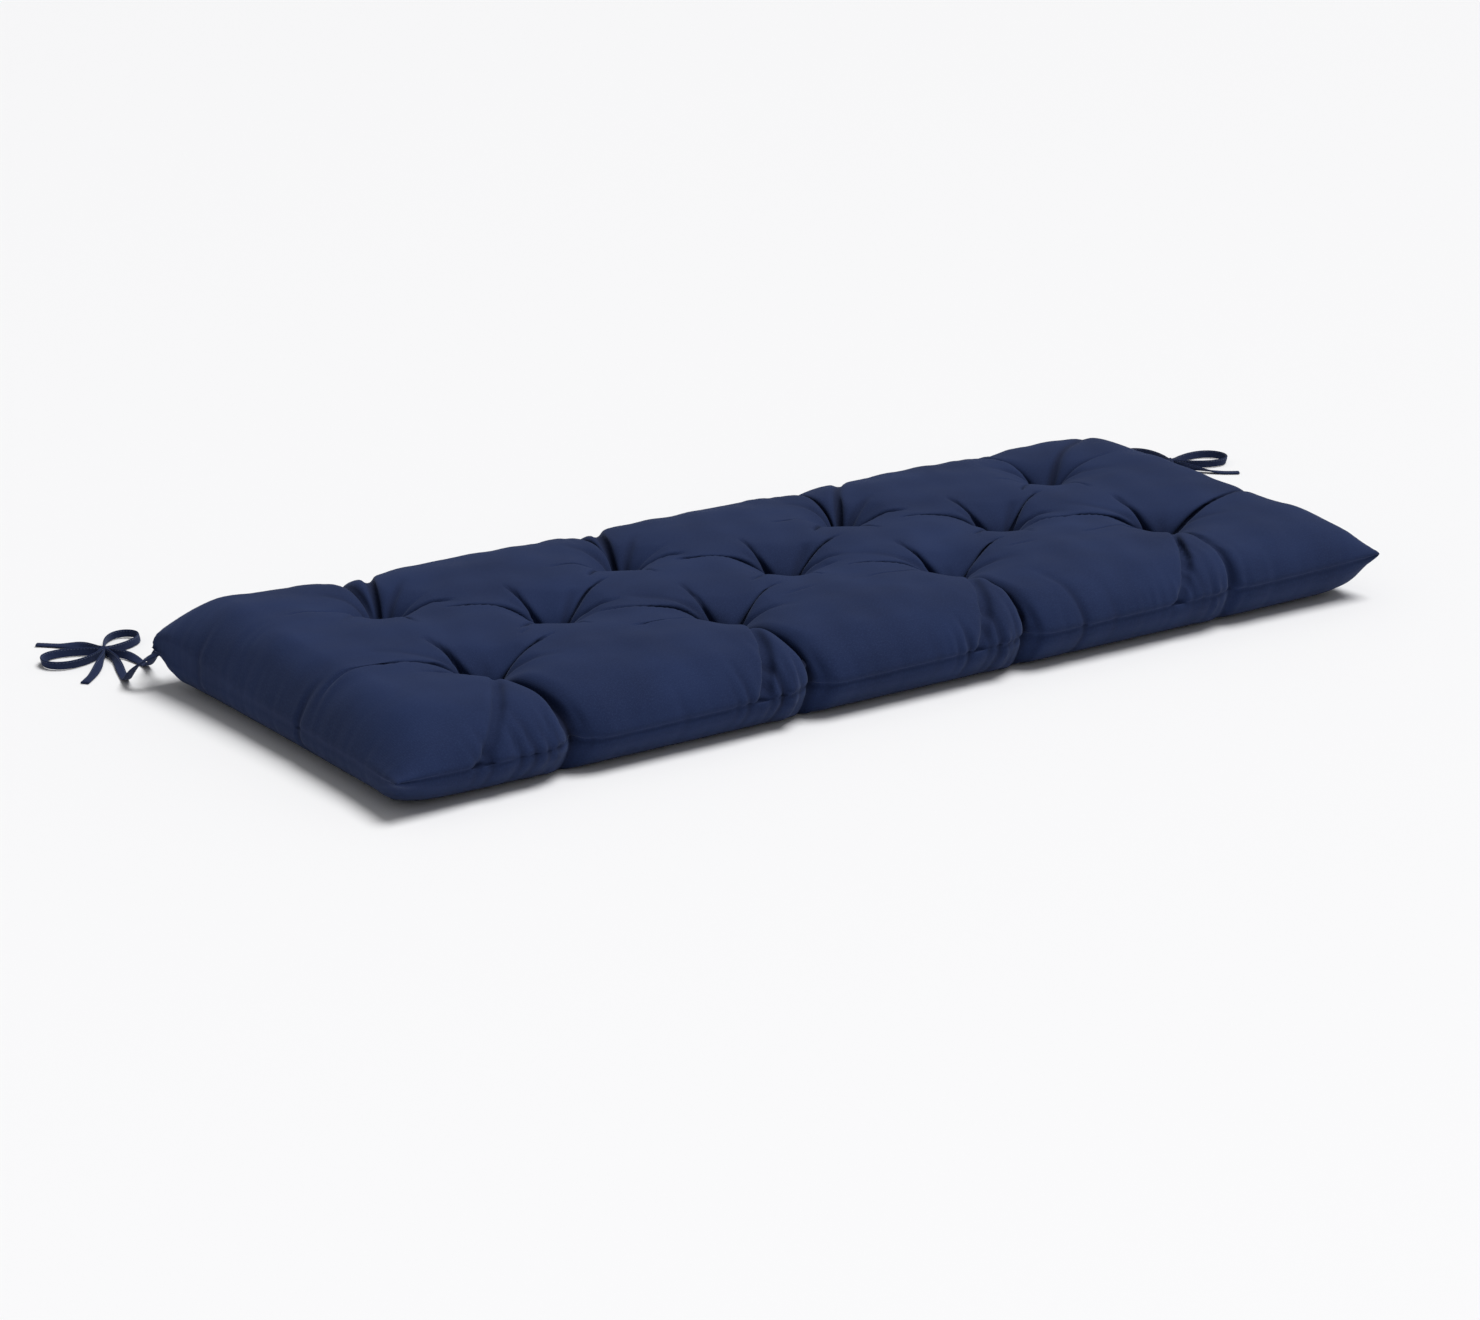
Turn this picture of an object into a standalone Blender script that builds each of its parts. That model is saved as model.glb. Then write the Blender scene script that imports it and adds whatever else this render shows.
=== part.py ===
"""A tufted bench cushion with a pair of tie tapes, knotted in a bow, at each back corner.

The origin is the middle of the underside, on the surface that the cushion lies on.
X runs along the bench, Y from the front edge to the back edge, and Z up. Metres.
"""

import math

import bmesh
import bpy
import numpy as np
from mathutils import Vector
from mathutils.geometry import interpolate_bezier

# The cover as sewn and filled, from corner tip to corner tip
LENGTH = 1.154
DEPTH = 0.456
CROWN = 0.090
FRONT_DROP = 0.006
SEAM_HEIGHT = 0.035
SEAM_TILT = 0.004
CORNER_LIFT = 0.006
END_DRAW_IN = 0.008
SIDE_DRAW_IN = 0.005
SIDE_TOP_ROLL = 0.105
LEFT_END_TOP_ROLL = 0.060
RIGHT_END_TOP_ROLL = 0.082
SIDE_UNDER_ROLL = 0.046
END_UNDER_ROLL = 0.024
CORNER_UNDER_ROLL = 0.060
BACK_LEFT_UNDER_ROLL = 0.032

# Tufts: stitches that pull the top and the underside together
TUFT_PITCH = 0.271
TUFT_ROW_GAP = 0.095
TUFT_PULL = 0.044
TUFT_REACH = 0.034
TUFT_BOTTOM_RADIUS = 0.007
UNDER_TUFT_DEPTH = 0.010
UNDER_TUFT_RADIUS = 0.038

# Channels: where the cloth folds in between a tuft and its edge, and from tuft to tuft
PINCH_DEPTH = 0.015
PINCH_WIDTH = 0.017
PINCH_PITCH = 0.262
PINCH_SHIFT = 0.012
EDGE_CHANNEL_DEPTH = 0.026
EDGE_CHANNEL_WIDTH = 0.014
FOLD_DEPTH = 0.013
FOLD_WIDTH = 0.011
FOLD_REACH = 0.050
END_FOLD_LENGTH = 0.070

# Grid of the cover: steps between tuft columns, out to the ends, and the same across
COLUMN_STEPS = 8
END_STEPS = 11
ROW_STEPS = 6
SIDE_STEPS = 10

# Flat faces of the underside that are merged: height over the surface, and angle between them
FLAT_WITHIN = 1e-7
MERGE_ANGLE = math.radians(0.2)

# Tie tapes: folded strips of the cover's cloth, sewn into the seam beside each back corner
TAPE_WIDTH = 0.0085
TAPE_THICKNESS = 0.0022
TAPE_CLEARANCE = 0.0005
TAPE_SEAM_OFFSET = 0.014
TAPE_SEAM_GAP = 0.0006
LEAD_DROP_LENGTH = 0.055
LEAD_HANDLE = 0.045
KNOT_GAP = 0.0003
KNOT_RADII = Vector((0.0085, 0.0070, 0.0052))
LEAD_STEPS = 24
LOOP_STEPS = 26
END_STRAND_STEPS = 14

# Each bow: its knot in plan, and the heading in degrees in which each strand leaves the knot
BOWS = {
    "left": {
        "knot": (-0.574, 0.332),
        "lead_back": {"heading": 302},
        "lead_end": {"heading": 270},
        "loop_out": {"heading": 180, "spread": 34, "reach": 0.058},
        "loop_in": {"heading": 38, "spread": 30, "reach": 0.052},
        "end_front": {"heading": 238, "bend": -8, "length": 0.078},
        "end_back": {"heading": 106, "bend": 18, "length": 0.070},
    },
    "right": {
        "knot": (0.722, 0.262),
        "lead_back": {"heading": 170},
        "lead_end": {"heading": 205},
        "loop_out": {"heading": 348, "spread": 34, "reach": 0.062},
        "loop_in": {"heading": 100, "spread": 28, "reach": 0.056},
        "end_front": {"heading": 282, "bend": 26, "length": 0.072},
        "end_back": {"heading": 240, "bend": -16, "length": 0.066},
    },
}

COVER_NAVY = (0.021, 0.033, 0.093, 1.0)
TAPE_NAVY = (0.019, 0.030, 0.084, 1.0)
CLOTH_ROUGHNESS = 0.85

HALF_LENGTH = LENGTH / 2
HALF_DEPTH = DEPTH / 2
EDGE_COLUMNS = [TUFT_PITCH * k for k in (-1.5, -0.5, 0.5, 1.5)]
MIDDLE_COLUMNS = [TUFT_PITCH * k for k in (-1, 0, 1)]
ROWS = [-TUFT_ROW_GAP, 0.0, TUFT_ROW_GAP]
TUFTS = [(x, 0.0) for x in MIDDLE_COLUMNS]
TUFTS += [(x, y) for y in (-TUFT_ROW_GAP, TUFT_ROW_GAP) for x in EDGE_COLUMNS]


def clear_scene():
    for thing in list(bpy.data.objects):
        bpy.data.objects.remove(thing, do_unlink=True)


def cloth(name, color):
    material = bpy.data.materials.new(name)
    material.use_nodes = True
    shader = material.node_tree.nodes["Principled BSDF"]
    shader.inputs["Base Color"].default_value = color
    shader.inputs["Roughness"].default_value = CLOTH_ROUGHNESS
    shader.inputs["Metallic"].default_value = 0.0
    return material


def add_object(name, bm, material):
    """Turns a bmesh into an object of the scene, shaded smooth."""
    mesh = bpy.data.meshes.new(name)
    bm.to_mesh(mesh)
    bm.free()
    mesh.materials.append(material)
    mesh.shade_smooth()
    thing = bpy.data.objects.new(name, mesh)
    bpy.context.scene.collection.objects.link(thing)
    return thing


def bump(distance, width):
    """1 on the line and close to 0 a few widths away from it."""
    return np.exp(-((distance / width) ** 2))


def roll_over(inset, radius):
    """Quarter-circle rise from 0 at the seam to 1 at one radius in from it."""
    out = 1 - np.minimum(inset / radius, 1)
    return np.sqrt(1 - out**2)


def pinch_at(p):
    """How strongly the tufts pull the front and back seams in at p, from 0 to 1."""
    return sum(bump(p - column, PINCH_WIDTH) for column in EDGE_COLUMNS)


def slant(p):
    """How far along the bench the front and back seams are shifted by the pinches."""
    stops = [-HALF_LENGTH, *EDGE_COLUMNS, HALF_LENGTH]
    pinched = [column * (PINCH_PITCH / TUFT_PITCH - 1) + PINCH_SHIFT for column in EDGE_COLUMNS]
    return np.interp(p, stops, [0, *pinched, 0])


def past_row(q):
    """0 up to the outer row of tufts, and from there evenly up to 1 at the seam."""
    return np.clip((np.abs(q) - TUFT_ROW_GAP) / (HALF_DEPTH - TUFT_ROW_GAP), 0, 1)


def plan(p, q):
    """Place in plan of the cover's point that lies p along and q across it as cut."""
    u = p / HALF_LENGTH
    v = q / HALF_DEPTH
    x = p - u * END_DRAW_IN * (1 - np.abs(v) ** 3) + slant(p) * past_row(q)
    side = HALF_DEPTH - SIDE_DRAW_IN * (1 - np.abs(u) ** 5)
    y = v * (side - PINCH_DEPTH * pinch_at(p) * np.abs(v) ** 3)
    return x, y


def insets(p, q):
    """Distance in from the end seam and from the side seam."""
    return HALF_LENGTH - np.abs(p), HALF_DEPTH - np.abs(q)


def seam_height(p, q):
    """The seam lifts a little at the corners, where the filling doesn't reach."""
    lift = CORNER_LIFT * (p * q / (HALF_LENGTH * HALF_DEPTH)) ** 8
    return SEAM_HEIGHT + SEAM_TILT * p / HALF_LENGTH + lift


def along_and_off(p, q, start, end):
    """Position along the line from start to end, and distance from that line."""
    step = np.subtract(end, start)
    length = np.hypot(*step)
    t = ((p - start[0]) * step[0] + (q - start[1]) * step[1]) / length
    held = np.clip(t, 0, length)
    off = np.hypot(p - start[0] - held * step[0] / length, q - start[1] - held * step[1] / length)
    return held, off, length


def neighbour_pairs():
    """Each middle tuft with the four front and back tufts that stand diagonally beside it."""
    for column in MIDDLE_COLUMNS:
        for side in (-1, 1):
            for row in (-TUFT_ROW_GAP, TUFT_ROW_GAP):
                yield (column, 0.0), (column + side * TUFT_PITCH / 2, row)


def fold_depth(p, q):
    """Folds that run from each tuft towards its neighbours, and outwards at the ends."""
    depth = np.zeros_like(p)
    for start, end in neighbour_pairs():
        held, off, length = along_and_off(p, q, start, end)
        fade = np.exp(-held / FOLD_REACH) + np.exp(-(length - held) / FOLD_REACH)
        depth = np.maximum(depth, FOLD_DEPTH * fade * bump(off, FOLD_WIDTH))
    for column, row in TUFTS:
        if abs(column) < EDGE_COLUMNS[-1]:
            continue
        out = math.copysign(END_FOLD_LENGTH, column)
        held, off, _ = along_and_off(p, q, (column, row), (column + out, row))
        depth = np.maximum(depth, FOLD_DEPTH * np.exp(-held / FOLD_REACH) * bump(off, FOLD_WIDTH))
    return depth


def edge_channel_depth(p, q):
    """Channels from each front and back tuft out to its own edge."""
    beyond = np.clip(2 * np.abs(q) / TUFT_ROW_GAP - 1, 0, 1)
    across = sum(bump(p - column, EDGE_CHANNEL_WIDTH) for column in EDGE_COLUMNS)
    return EDGE_CHANNEL_DEPTH * across * beyond


def tuft_depth(p, q):
    """Funnels that the stitches draw down, sharp at the stitch and wide at the top."""
    depth = np.zeros_like(p)
    for column, row in TUFTS:
        distance = np.hypot(p - column, q - row)
        eased = np.sqrt(distance**2 + TUFT_BOTTOM_RADIUS**2) - TUFT_BOTTOM_RADIUS
        depth += TUFT_PULL * np.exp(-eased / TUFT_REACH)
    return depth


def crown_height(q):
    """The filling lies a little lower towards the front edge."""
    forward = np.clip(0.5 - q / (2 * TUFT_ROW_GAP), 0, 1)
    return CROWN - FRONT_DROP * forward**2 * (3 - 2 * forward)


def top_height(p, q):
    end_inset, side_inset = insets(p, q)
    end_roll = np.where(p < 0, LEFT_END_TOP_ROLL, RIGHT_END_TOP_ROLL)
    rise = roll_over(end_inset, end_roll) * roll_over(side_inset, SIDE_TOP_ROLL)
    seam = seam_height(p, q)
    full = crown_height(q) - seam
    pulled = tuft_depth(p, q) + fold_depth(p, q)
    pulled = np.maximum(pulled, edge_channel_depth(p, q))
    return seam + (full - np.minimum(pulled, full)) * rise


def under_height(p, q):
    end_inset, side_inset = insets(p, q)
    rise = roll_over(end_inset, END_UNDER_ROLL) * roll_over(side_inset, SIDE_UNDER_ROLL)
    corner_roll = np.where((p < 0) & (q > 0), BACK_LEFT_UNDER_ROLL, CORNER_UNDER_ROLL)
    rise *= roll_over(np.hypot(end_inset, side_inset), corner_roll)
    height = seam_height(p, q) * (1 - rise)
    for column, row in TUFTS:
        near = np.clip(1 - np.hypot(p - column, q - row) / UNDER_TUFT_RADIUS, 0, 1)
        height += UNDER_TUFT_DEPTH * near**2
    return height


def eased_steps(low, high, count):
    """Even steps, drawn closer together towards both ends."""
    t = np.linspace(0, 1, count + 1)
    t = 0.45 * t + 0.55 * (0.5 - 0.5 * np.cos(math.pi * t))
    return (low + (high - low) * t)[:-1]


def grid_lines(stops, steps, edge_steps, half):
    """Places of the grid's lines from seam to seam, with a line on every stop."""
    lines = [eased_steps(-half, stops[0], edge_steps)]
    lines += [eased_steps(a, b, steps) for a, b in zip(stops, stops[1:])]
    lines += [eased_steps(stops[-1], half, edge_steps), [half]]
    return np.concatenate(lines)


def skin(bm, p_lines, q_lines, height, rim):
    """One panel of the cover as a grid of vertices. The rim's vertices are shared."""
    rows = []
    last = (len(p_lines) - 1, len(q_lines) - 1)
    for i, p in enumerate(p_lines):
        row = []
        for j, q in enumerate(q_lines):
            if (i, j) in rim:
                row.append(rim[i, j])
                continue
            at = np.array(p), np.array(q)
            on_rim = i in (0, last[0]) or j in (0, last[1])
            z = seam_height(*at) if on_rim else height(*at)
            x, y = plan(*at)
            vertex = bm.verts.new((x, y, z))
            row.append(vertex)
            if on_rim:
                rim[i, j] = vertex
        rows.append(row)
    return rows


def panel_faces(bm, rows, facing_up):
    """Triangles over the grid, split along the diagonals that run out to the four corners."""
    faces = []
    half_i = (len(rows) - 1) / 2
    half_j = (len(rows[0]) - 1) / 2
    for i, (left, right) in enumerate(zip(rows, rows[1:])):
        for j in range(len(left) - 1):
            a, b, c, d = left[j], right[j], right[j + 1], left[j + 1]
            rising = (i < half_i) == (j < half_j)
            pair = ((a, b, c), (a, c, d)) if rising else ((a, b, d), (b, c, d))
            for corners in pair:
                faces.append(bm.faces.new(corners if facing_up else corners[::-1]))
    return faces


def merge_flat(bm, faces):
    """The underside is one plane between its dimples, so it needs few faces there."""
    flat = [face for face in faces if max(vert.co.z for vert in face.verts) < FLAT_WITHIN]
    bmesh.ops.dissolve_limit(
        bm,
        angle_limit=MERGE_ANGLE,
        verts=list({vert for face in flat for vert in face.verts}),
        edges=list({edge for face in flat for edge in face.edges}),
    )


def make_cushion(material):
    columns = sorted(EDGE_COLUMNS + MIDDLE_COLUMNS)
    p_lines = grid_lines(columns, COLUMN_STEPS, END_STEPS, HALF_LENGTH)
    q_lines = grid_lines(ROWS, ROW_STEPS, SIDE_STEPS, HALF_DEPTH)
    bm = bmesh.new()
    rim = {}
    panel_faces(bm, skin(bm, p_lines, q_lines, top_height, rim), True)
    underside = panel_faces(bm, skin(bm, p_lines, q_lines, under_height, rim), False)
    bm.normal_update()
    merge_flat(bm, underside)
    bmesh.ops.triangulate(bm, faces=bm.faces, ngon_method="BEAUTY")
    return add_object("cushion", bm, material)


def heading(degrees):
    angle = math.radians(degrees)
    return Vector((math.cos(angle), math.sin(angle), 0))


def ease(t):
    """0 to 1 with a level start and a level end."""
    t = min(max(t, 0), 1)
    return t * t * (3 - 2 * t)


def resting_height(roll):
    """Height of a tape's middle line where its lower edge just clears the surface."""
    half_width = TAPE_WIDTH / 2 * abs(math.sin(roll))
    half_thickness = TAPE_THICKNESS / 2 * abs(math.cos(roll))
    return TAPE_CLEARANCE + half_width + half_thickness


def make_tape(name, points, rolls, material):
    """A flat tape along points. At each one a roll of 0 lies flat and 90 degrees stands on edge."""
    bm = bmesh.new()
    rings = []
    for k, point in enumerate(points):
        ahead = points[min(k + 1, len(points) - 1)]
        behind = points[max(k - 1, 0)]
        tangent = (ahead - behind).normalized()
        level = tangent.cross(Vector((0, 0, 1))).normalized()
        upward = level.cross(tangent)
        wide = level * math.cos(rolls[k]) + upward * math.sin(rolls[k])
        thick = upward * math.cos(rolls[k]) - level * math.sin(rolls[k])
        ring = []
        for a, b in ((1, 1), (-1, 1), (-1, -1), (1, -1)):
            corner = point + wide * (a * TAPE_WIDTH / 2) + thick * (b * TAPE_THICKNESS / 2)
            ring.append(bm.verts.new(corner))
        rings.append(ring)
    for ring, following in zip(rings, rings[1:]):
        for k in range(4):
            n = (k + 1) % 4
            bm.faces.new((ring[k], ring[n], following[n], following[k]))
    bm.faces.new(rings[0])
    bm.faces.new(rings[-1][::-1])
    bmesh.ops.recalc_face_normals(bm, faces=bm.faces)
    return add_object(name, bm, material)


def knot_side(knot, direction):
    """The point just off the knot where a strand leaves it in this direction."""
    reach = Vector((direction.x * KNOT_RADII.x, direction.y * KNOT_RADII.y)).length
    return knot + direction * (reach + KNOT_GAP)


def lead_route(knot, direction, seam_point, outward):
    """From the cover's seam down to the surface, and along it to the knot."""
    start = Vector((seam_point.x, seam_point.y, 0)) + outward * TAPE_SEAM_GAP
    end = knot_side(knot, direction)
    handles = start + outward * LEAD_HANDLE, end + direction * LEAD_HANDLE
    points = interpolate_bezier(start, *handles, end, LEAD_STEPS)
    rolls = []
    run = 0
    for k, point in enumerate(points):
        run += (point - points[max(k - 1, 0)]).xy.length
        roll = math.radians(90) * ease(2.5 * k / (LEAD_STEPS - 1) - 1.5)
        rest = resting_height(roll)
        point.z = rest + (seam_point.z - rest) * (1 - ease(run / LEAD_DROP_LENGTH))
        rolls.append(roll)
    return points, rolls


def loop_route(knot, row):
    """A teardrop that leaves the knot and comes back to it, standing on its edge."""
    out = heading(row["heading"] - row["spread"])
    back = heading(row["heading"] + row["spread"])
    start, end = knot_side(knot, out), knot_side(knot, back)
    handle = row["reach"] / (0.75 * math.cos(math.radians(row["spread"])))
    points = interpolate_bezier(start, start + out * handle, end + back * handle, end, LOOP_STEPS)
    rolls = [math.radians(90 - 14 * math.sin(math.pi * k / (LOOP_STEPS - 1))) for k in range(LOOP_STEPS)]
    for point, roll in zip(points, rolls):
        point.z = resting_height(roll)
    return points, rolls


def end_route(knot, row):
    """A free end that leaves the knot on its edge and turns over to lie flat."""
    out = heading(row["heading"])
    start = knot_side(knot, out)
    tip = start + heading(row["heading"] + row["bend"]) * row["length"]
    handle = row["length"] / 3
    late = tip - heading(row["heading"] + 2 * row["bend"]) * handle
    points = interpolate_bezier(start, start + out * handle, late, tip, END_STRAND_STEPS)
    rolls = [math.radians(90) * (1 - ease(1.3 * k / (END_STRAND_STEPS - 1))) for k in range(END_STRAND_STEPS)]
    for point, roll in zip(points, rolls):
        point.z = resting_height(roll)
    return points, rolls


def make_knot(name, knot, material):
    bm = bmesh.new()
    bmesh.ops.create_uvsphere(bm, u_segments=16, v_segments=8, radius=1)
    bmesh.ops.scale(bm, vec=KNOT_RADII, verts=bm.verts)
    middle = knot + Vector((0, 0, KNOT_RADII.z + TAPE_CLEARANCE))
    bmesh.ops.translate(bm, vec=middle, verts=bm.verts)
    return add_object(name, bm, material)


def seam_place(p, q):
    x, y = plan(np.array(p), np.array(q))
    return Vector((float(x), float(y), float(seam_height(p, q))))


def make_bow(side, bow, material):
    """The two tapes of one back corner: two leads, two loops, two free ends and the knot."""
    sign = math.copysign(1, bow["knot"][0])
    knot = Vector((*bow["knot"], 0))
    inner = TAPE_SEAM_OFFSET
    back_seam = seam_place(sign * (HALF_LENGTH - inner), HALF_DEPTH), Vector((0, 1, 0))
    end_seam = seam_place(sign * HALF_LENGTH, HALF_DEPTH - inner), Vector((sign, 0, 0))
    for strand, seam in (("lead_back", back_seam), ("lead_end", end_seam)):
        route = lead_route(knot, heading(bow[strand]["heading"]), *seam)
        make_tape(f"tie_{side}_{strand}", *route, material)
    for strand in ("loop_out", "loop_in"):
        make_tape(f"tie_{side}_{strand}", *loop_route(knot, bow[strand]), material)
    for strand in ("end_front", "end_back"):
        make_tape(f"tie_{side}_{strand}", *end_route(knot, bow[strand]), material)
    make_knot(f"tie_{side}_knot", knot, material)


clear_scene()
cover_cloth = cloth("navy_cover_cloth", COVER_NAVY)
tape_cloth = cloth("navy_tape_cloth", TAPE_NAVY)
make_cushion(cover_cloth)
for side, bow in BOWS.items():
    make_bow(side, bow, tape_cloth)
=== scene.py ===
# %% [markdown]
# # A tufted bench cushion
#
# The real thing is two panels of navy cloth, sewn together all round, turned out, filled with
# loose fibre and then tufted: eleven stitches pull the top down to the underside. A pair of cloth
# tapes is sewn in at each back corner and tied in a bow. This lesson dresses a plain solid of
# it: the cloth is relaxed like real cloth, creased along given lines, woven, sewn and lit.

# %% Loading the solid model
import math

import bmesh
import bpy
import numpy as np
from mathutils import Matrix, Vector
from mathutils.geometry import interpolate_bezier


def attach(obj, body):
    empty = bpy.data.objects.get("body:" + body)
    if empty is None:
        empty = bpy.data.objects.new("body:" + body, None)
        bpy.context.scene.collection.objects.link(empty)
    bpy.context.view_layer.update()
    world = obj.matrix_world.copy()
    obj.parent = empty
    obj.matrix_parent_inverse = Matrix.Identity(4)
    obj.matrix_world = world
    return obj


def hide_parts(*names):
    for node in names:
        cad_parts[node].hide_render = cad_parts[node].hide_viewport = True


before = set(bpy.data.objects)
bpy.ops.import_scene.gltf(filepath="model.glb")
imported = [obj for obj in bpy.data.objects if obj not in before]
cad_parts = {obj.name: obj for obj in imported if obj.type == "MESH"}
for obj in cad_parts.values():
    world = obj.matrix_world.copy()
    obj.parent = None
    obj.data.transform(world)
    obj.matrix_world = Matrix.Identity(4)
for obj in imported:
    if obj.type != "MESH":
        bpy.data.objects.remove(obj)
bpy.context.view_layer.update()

# %% [markdown]
# ## The camera
#
# It stands in front of the left end and a good metre above the cushion, with a long lens. Its
# three directions are written out as the columns of a matrix: they were solved together with its
# place, and a pair of angles would leave out the slight roll that they have.

# %% The camera
CAMERA_PLACE = (-2.2064, -3.0599, 1.2351)
CAMERA_RIGHT = (0.8187, -0.5742, 0.0031)
CAMERA_UP = (0.1791, 0.2604, 0.9487)
CAMERA_BACK = (-0.5455, -0.7762, 0.3161)
LENS_MM = 98.33

scene = bpy.context.scene
camera = bpy.data.objects.new("camera", bpy.data.cameras.new("camera"))
camera.data.lens = LENS_MM
camera.data.sensor_width = 36.0
camera.data.sensor_fit = "HORIZONTAL"
turn = Matrix((CAMERA_RIGHT, CAMERA_UP, CAMERA_BACK)).transposed()
camera.matrix_world = Matrix.Translation(CAMERA_PLACE) @ turn.to_4x4()
scene.collection.objects.link(camera)
scene.camera = camera

# %% [markdown]
# ## The tie tapes' routes
#
# Each back corner has two tapes. Each one runs from the cover's seam down to the surface, into
# the knot, round its loop of the bow, through the knot again and out as a free end. The routes
# are smooth Bezier curves between a few chosen points, which is how a soft strip falls: it has no
# corners, and it lies on what is under it. The sizes are the solid model's.

# %% Sizes of the cover and its tapes
LENGTH = 1.154
DEPTH = 0.456
SEAM_HEIGHT = 0.035
SEAM_TILT = 0.004
CORNER_LIFT = 0.006
END_DRAW_IN = 0.008
SIDE_DRAW_IN = 0.005
TUFT_PITCH = 0.271
TUFT_ROW_GAP = 0.095
PINCH_DEPTH = 0.015
PINCH_WIDTH = 0.017
PINCH_PITCH = 0.262
PINCH_SHIFT = 0.012
FRONT_STRAY = (-0.002, -0.004, -0.016, -0.024)
FRONT_SHARE = (1.0, 1.0, 0.9, 0.35)
BACK_SHARE = (0.5, 0.6, 0.6, 0.2)
HALF_LENGTH = LENGTH / 2
HALF_DEPTH = DEPTH / 2
EDGE_COLUMNS = [TUFT_PITCH * k for k in (-1.5, -0.5, 0.5, 1.5)]
MIDDLE_COLUMNS = [TUFT_PITCH * k for k in (-1, 0, 1)]

TAPE_WIDTH = 0.0085
TAPE_THICKNESS = 0.0022
TAPE_CLEARANCE = 0.0005
TAPE_SEAM_OFFSET = 0.014
TAPE_SEAM_GAP = 0.0006
LEAD_DROP_LENGTH = 0.055
LEAD_HANDLE = 0.045
KNOT_GAP = 0.0003
KNOT_RADII = Vector((0.0085, 0.0070, 0.0052))
LEAD_STEPS = 24
LOOP_STEPS = 26
END_STRAND_STEPS = 14

# Each strand leaves its knot at a heading in degrees. A loop spreads to both sides of it.
BOWS = {
    "left": {
        "knot": (-0.574, 0.332),
        "lead_back": {"heading": 302},
        "lead_end": {"heading": 270},
        "loop_out": {"heading": 180, "spread": 34, "reach": 0.058},
        "loop_in": {"heading": 38, "spread": 30, "reach": 0.052, "from_far_side": True},
        "end_front": {"heading": 238, "bend": -8, "length": 0.078},
        "end_back": {"heading": 106, "bend": 18, "length": 0.070},
    },
    "right": {
        "knot": (0.722, 0.262),
        "lead_back": {"heading": 170},
        "lead_end": {"heading": 205},
        "loop_out": {"heading": 348, "spread": 34, "reach": 0.062},
        "loop_in": {"heading": 100, "spread": 28, "reach": 0.056},
        "end_front": {"heading": 282, "bend": 26, "length": 0.072},
        "end_back": {"heading": 240, "bend": -16, "length": 0.066},
    },
}


# %% Where a point of the cut cloth comes to lie
def bump(distance, width):
    """1 on the line and close to 0 a few widths away from it."""
    return np.exp(-((distance / width) ** 2))


def straightened(p, q):
    """p as if the front channels, which stray sideways on their way to the seam, ran straight."""
    beyond = np.clip((-q - TUFT_ROW_GAP) / (HALF_DEPTH - TUFT_ROW_GAP), 0, 1)
    return p - np.interp(p, EDGE_COLUMNS, FRONT_STRAY) * beyond


def edge_columns(q):
    """Each front and back tuft's place, with how strongly it pulls the edge on q's side in."""
    for column, front, back in zip(EDGE_COLUMNS, FRONT_SHARE, BACK_SHARE):
        yield column, np.where(q < 0, front, back)


def pinch_at(p, q):
    """How strongly the tufts pull the front and back seams in at p, from 0 to 1."""
    at = straightened(p, q)
    return sum(share * bump(at - column, PINCH_WIDTH) for column, share in edge_columns(q))


def slant(p):
    """How far lengthwise the front and back seams are shifted by the pinches."""
    stops = [-HALF_LENGTH, *EDGE_COLUMNS, HALF_LENGTH]
    pinched = [column * (PINCH_PITCH / TUFT_PITCH - 1) + PINCH_SHIFT for column in EDGE_COLUMNS]
    return np.interp(p, stops, [0, *pinched, 0])


def plan(p, q):
    """Place in plan of the cover's point that lies p along and q across it as cut."""
    u, v = p / HALF_LENGTH, q / HALF_DEPTH
    beyond = np.clip((np.abs(q) - TUFT_ROW_GAP) / (HALF_DEPTH - TUFT_ROW_GAP), 0, 1)
    x = p - u * END_DRAW_IN * (1 - np.abs(v) ** 3) + slant(p) * beyond
    side = HALF_DEPTH - SIDE_DRAW_IN * (1 - np.abs(u) ** 5)
    return x, v * (side - PINCH_DEPTH * pinch_at(p, q) * np.abs(v) ** 3)


def seam_height(p, q):
    """The seam lifts a little at the corners, where the filling doesn't reach."""
    lift = CORNER_LIFT * (p * q / (HALF_LENGTH * HALF_DEPTH)) ** 8
    return SEAM_HEIGHT + SEAM_TILT * p / HALF_LENGTH + lift


def seam_place(p, q):
    x, y = plan(np.array(p), np.array(q))
    return Vector((float(x), float(y), float(seam_height(p, q))))


# %% The three kinds of strand
def heading(degrees):
    angle = math.radians(degrees)
    return Vector((math.cos(angle), math.sin(angle), 0))


def ease(t):
    """0 to 1 with a level start and a level end."""
    t = min(max(t, 0), 1)
    return t * t * (3 - 2 * t)


def resting_height(roll):
    """Height of a tape's middle line where its lower edge just clears the surface."""
    half_width = TAPE_WIDTH / 2 * abs(math.sin(roll))
    half_thickness = TAPE_THICKNESS / 2 * abs(math.cos(roll))
    return TAPE_CLEARANCE + half_width + half_thickness


def knot_side(knot, direction):
    """The point just off the knot where a strand leaves it in this direction."""
    reach = Vector((direction.x * KNOT_RADII.x, direction.y * KNOT_RADII.y)).length
    return knot + direction * (reach + KNOT_GAP)


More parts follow.
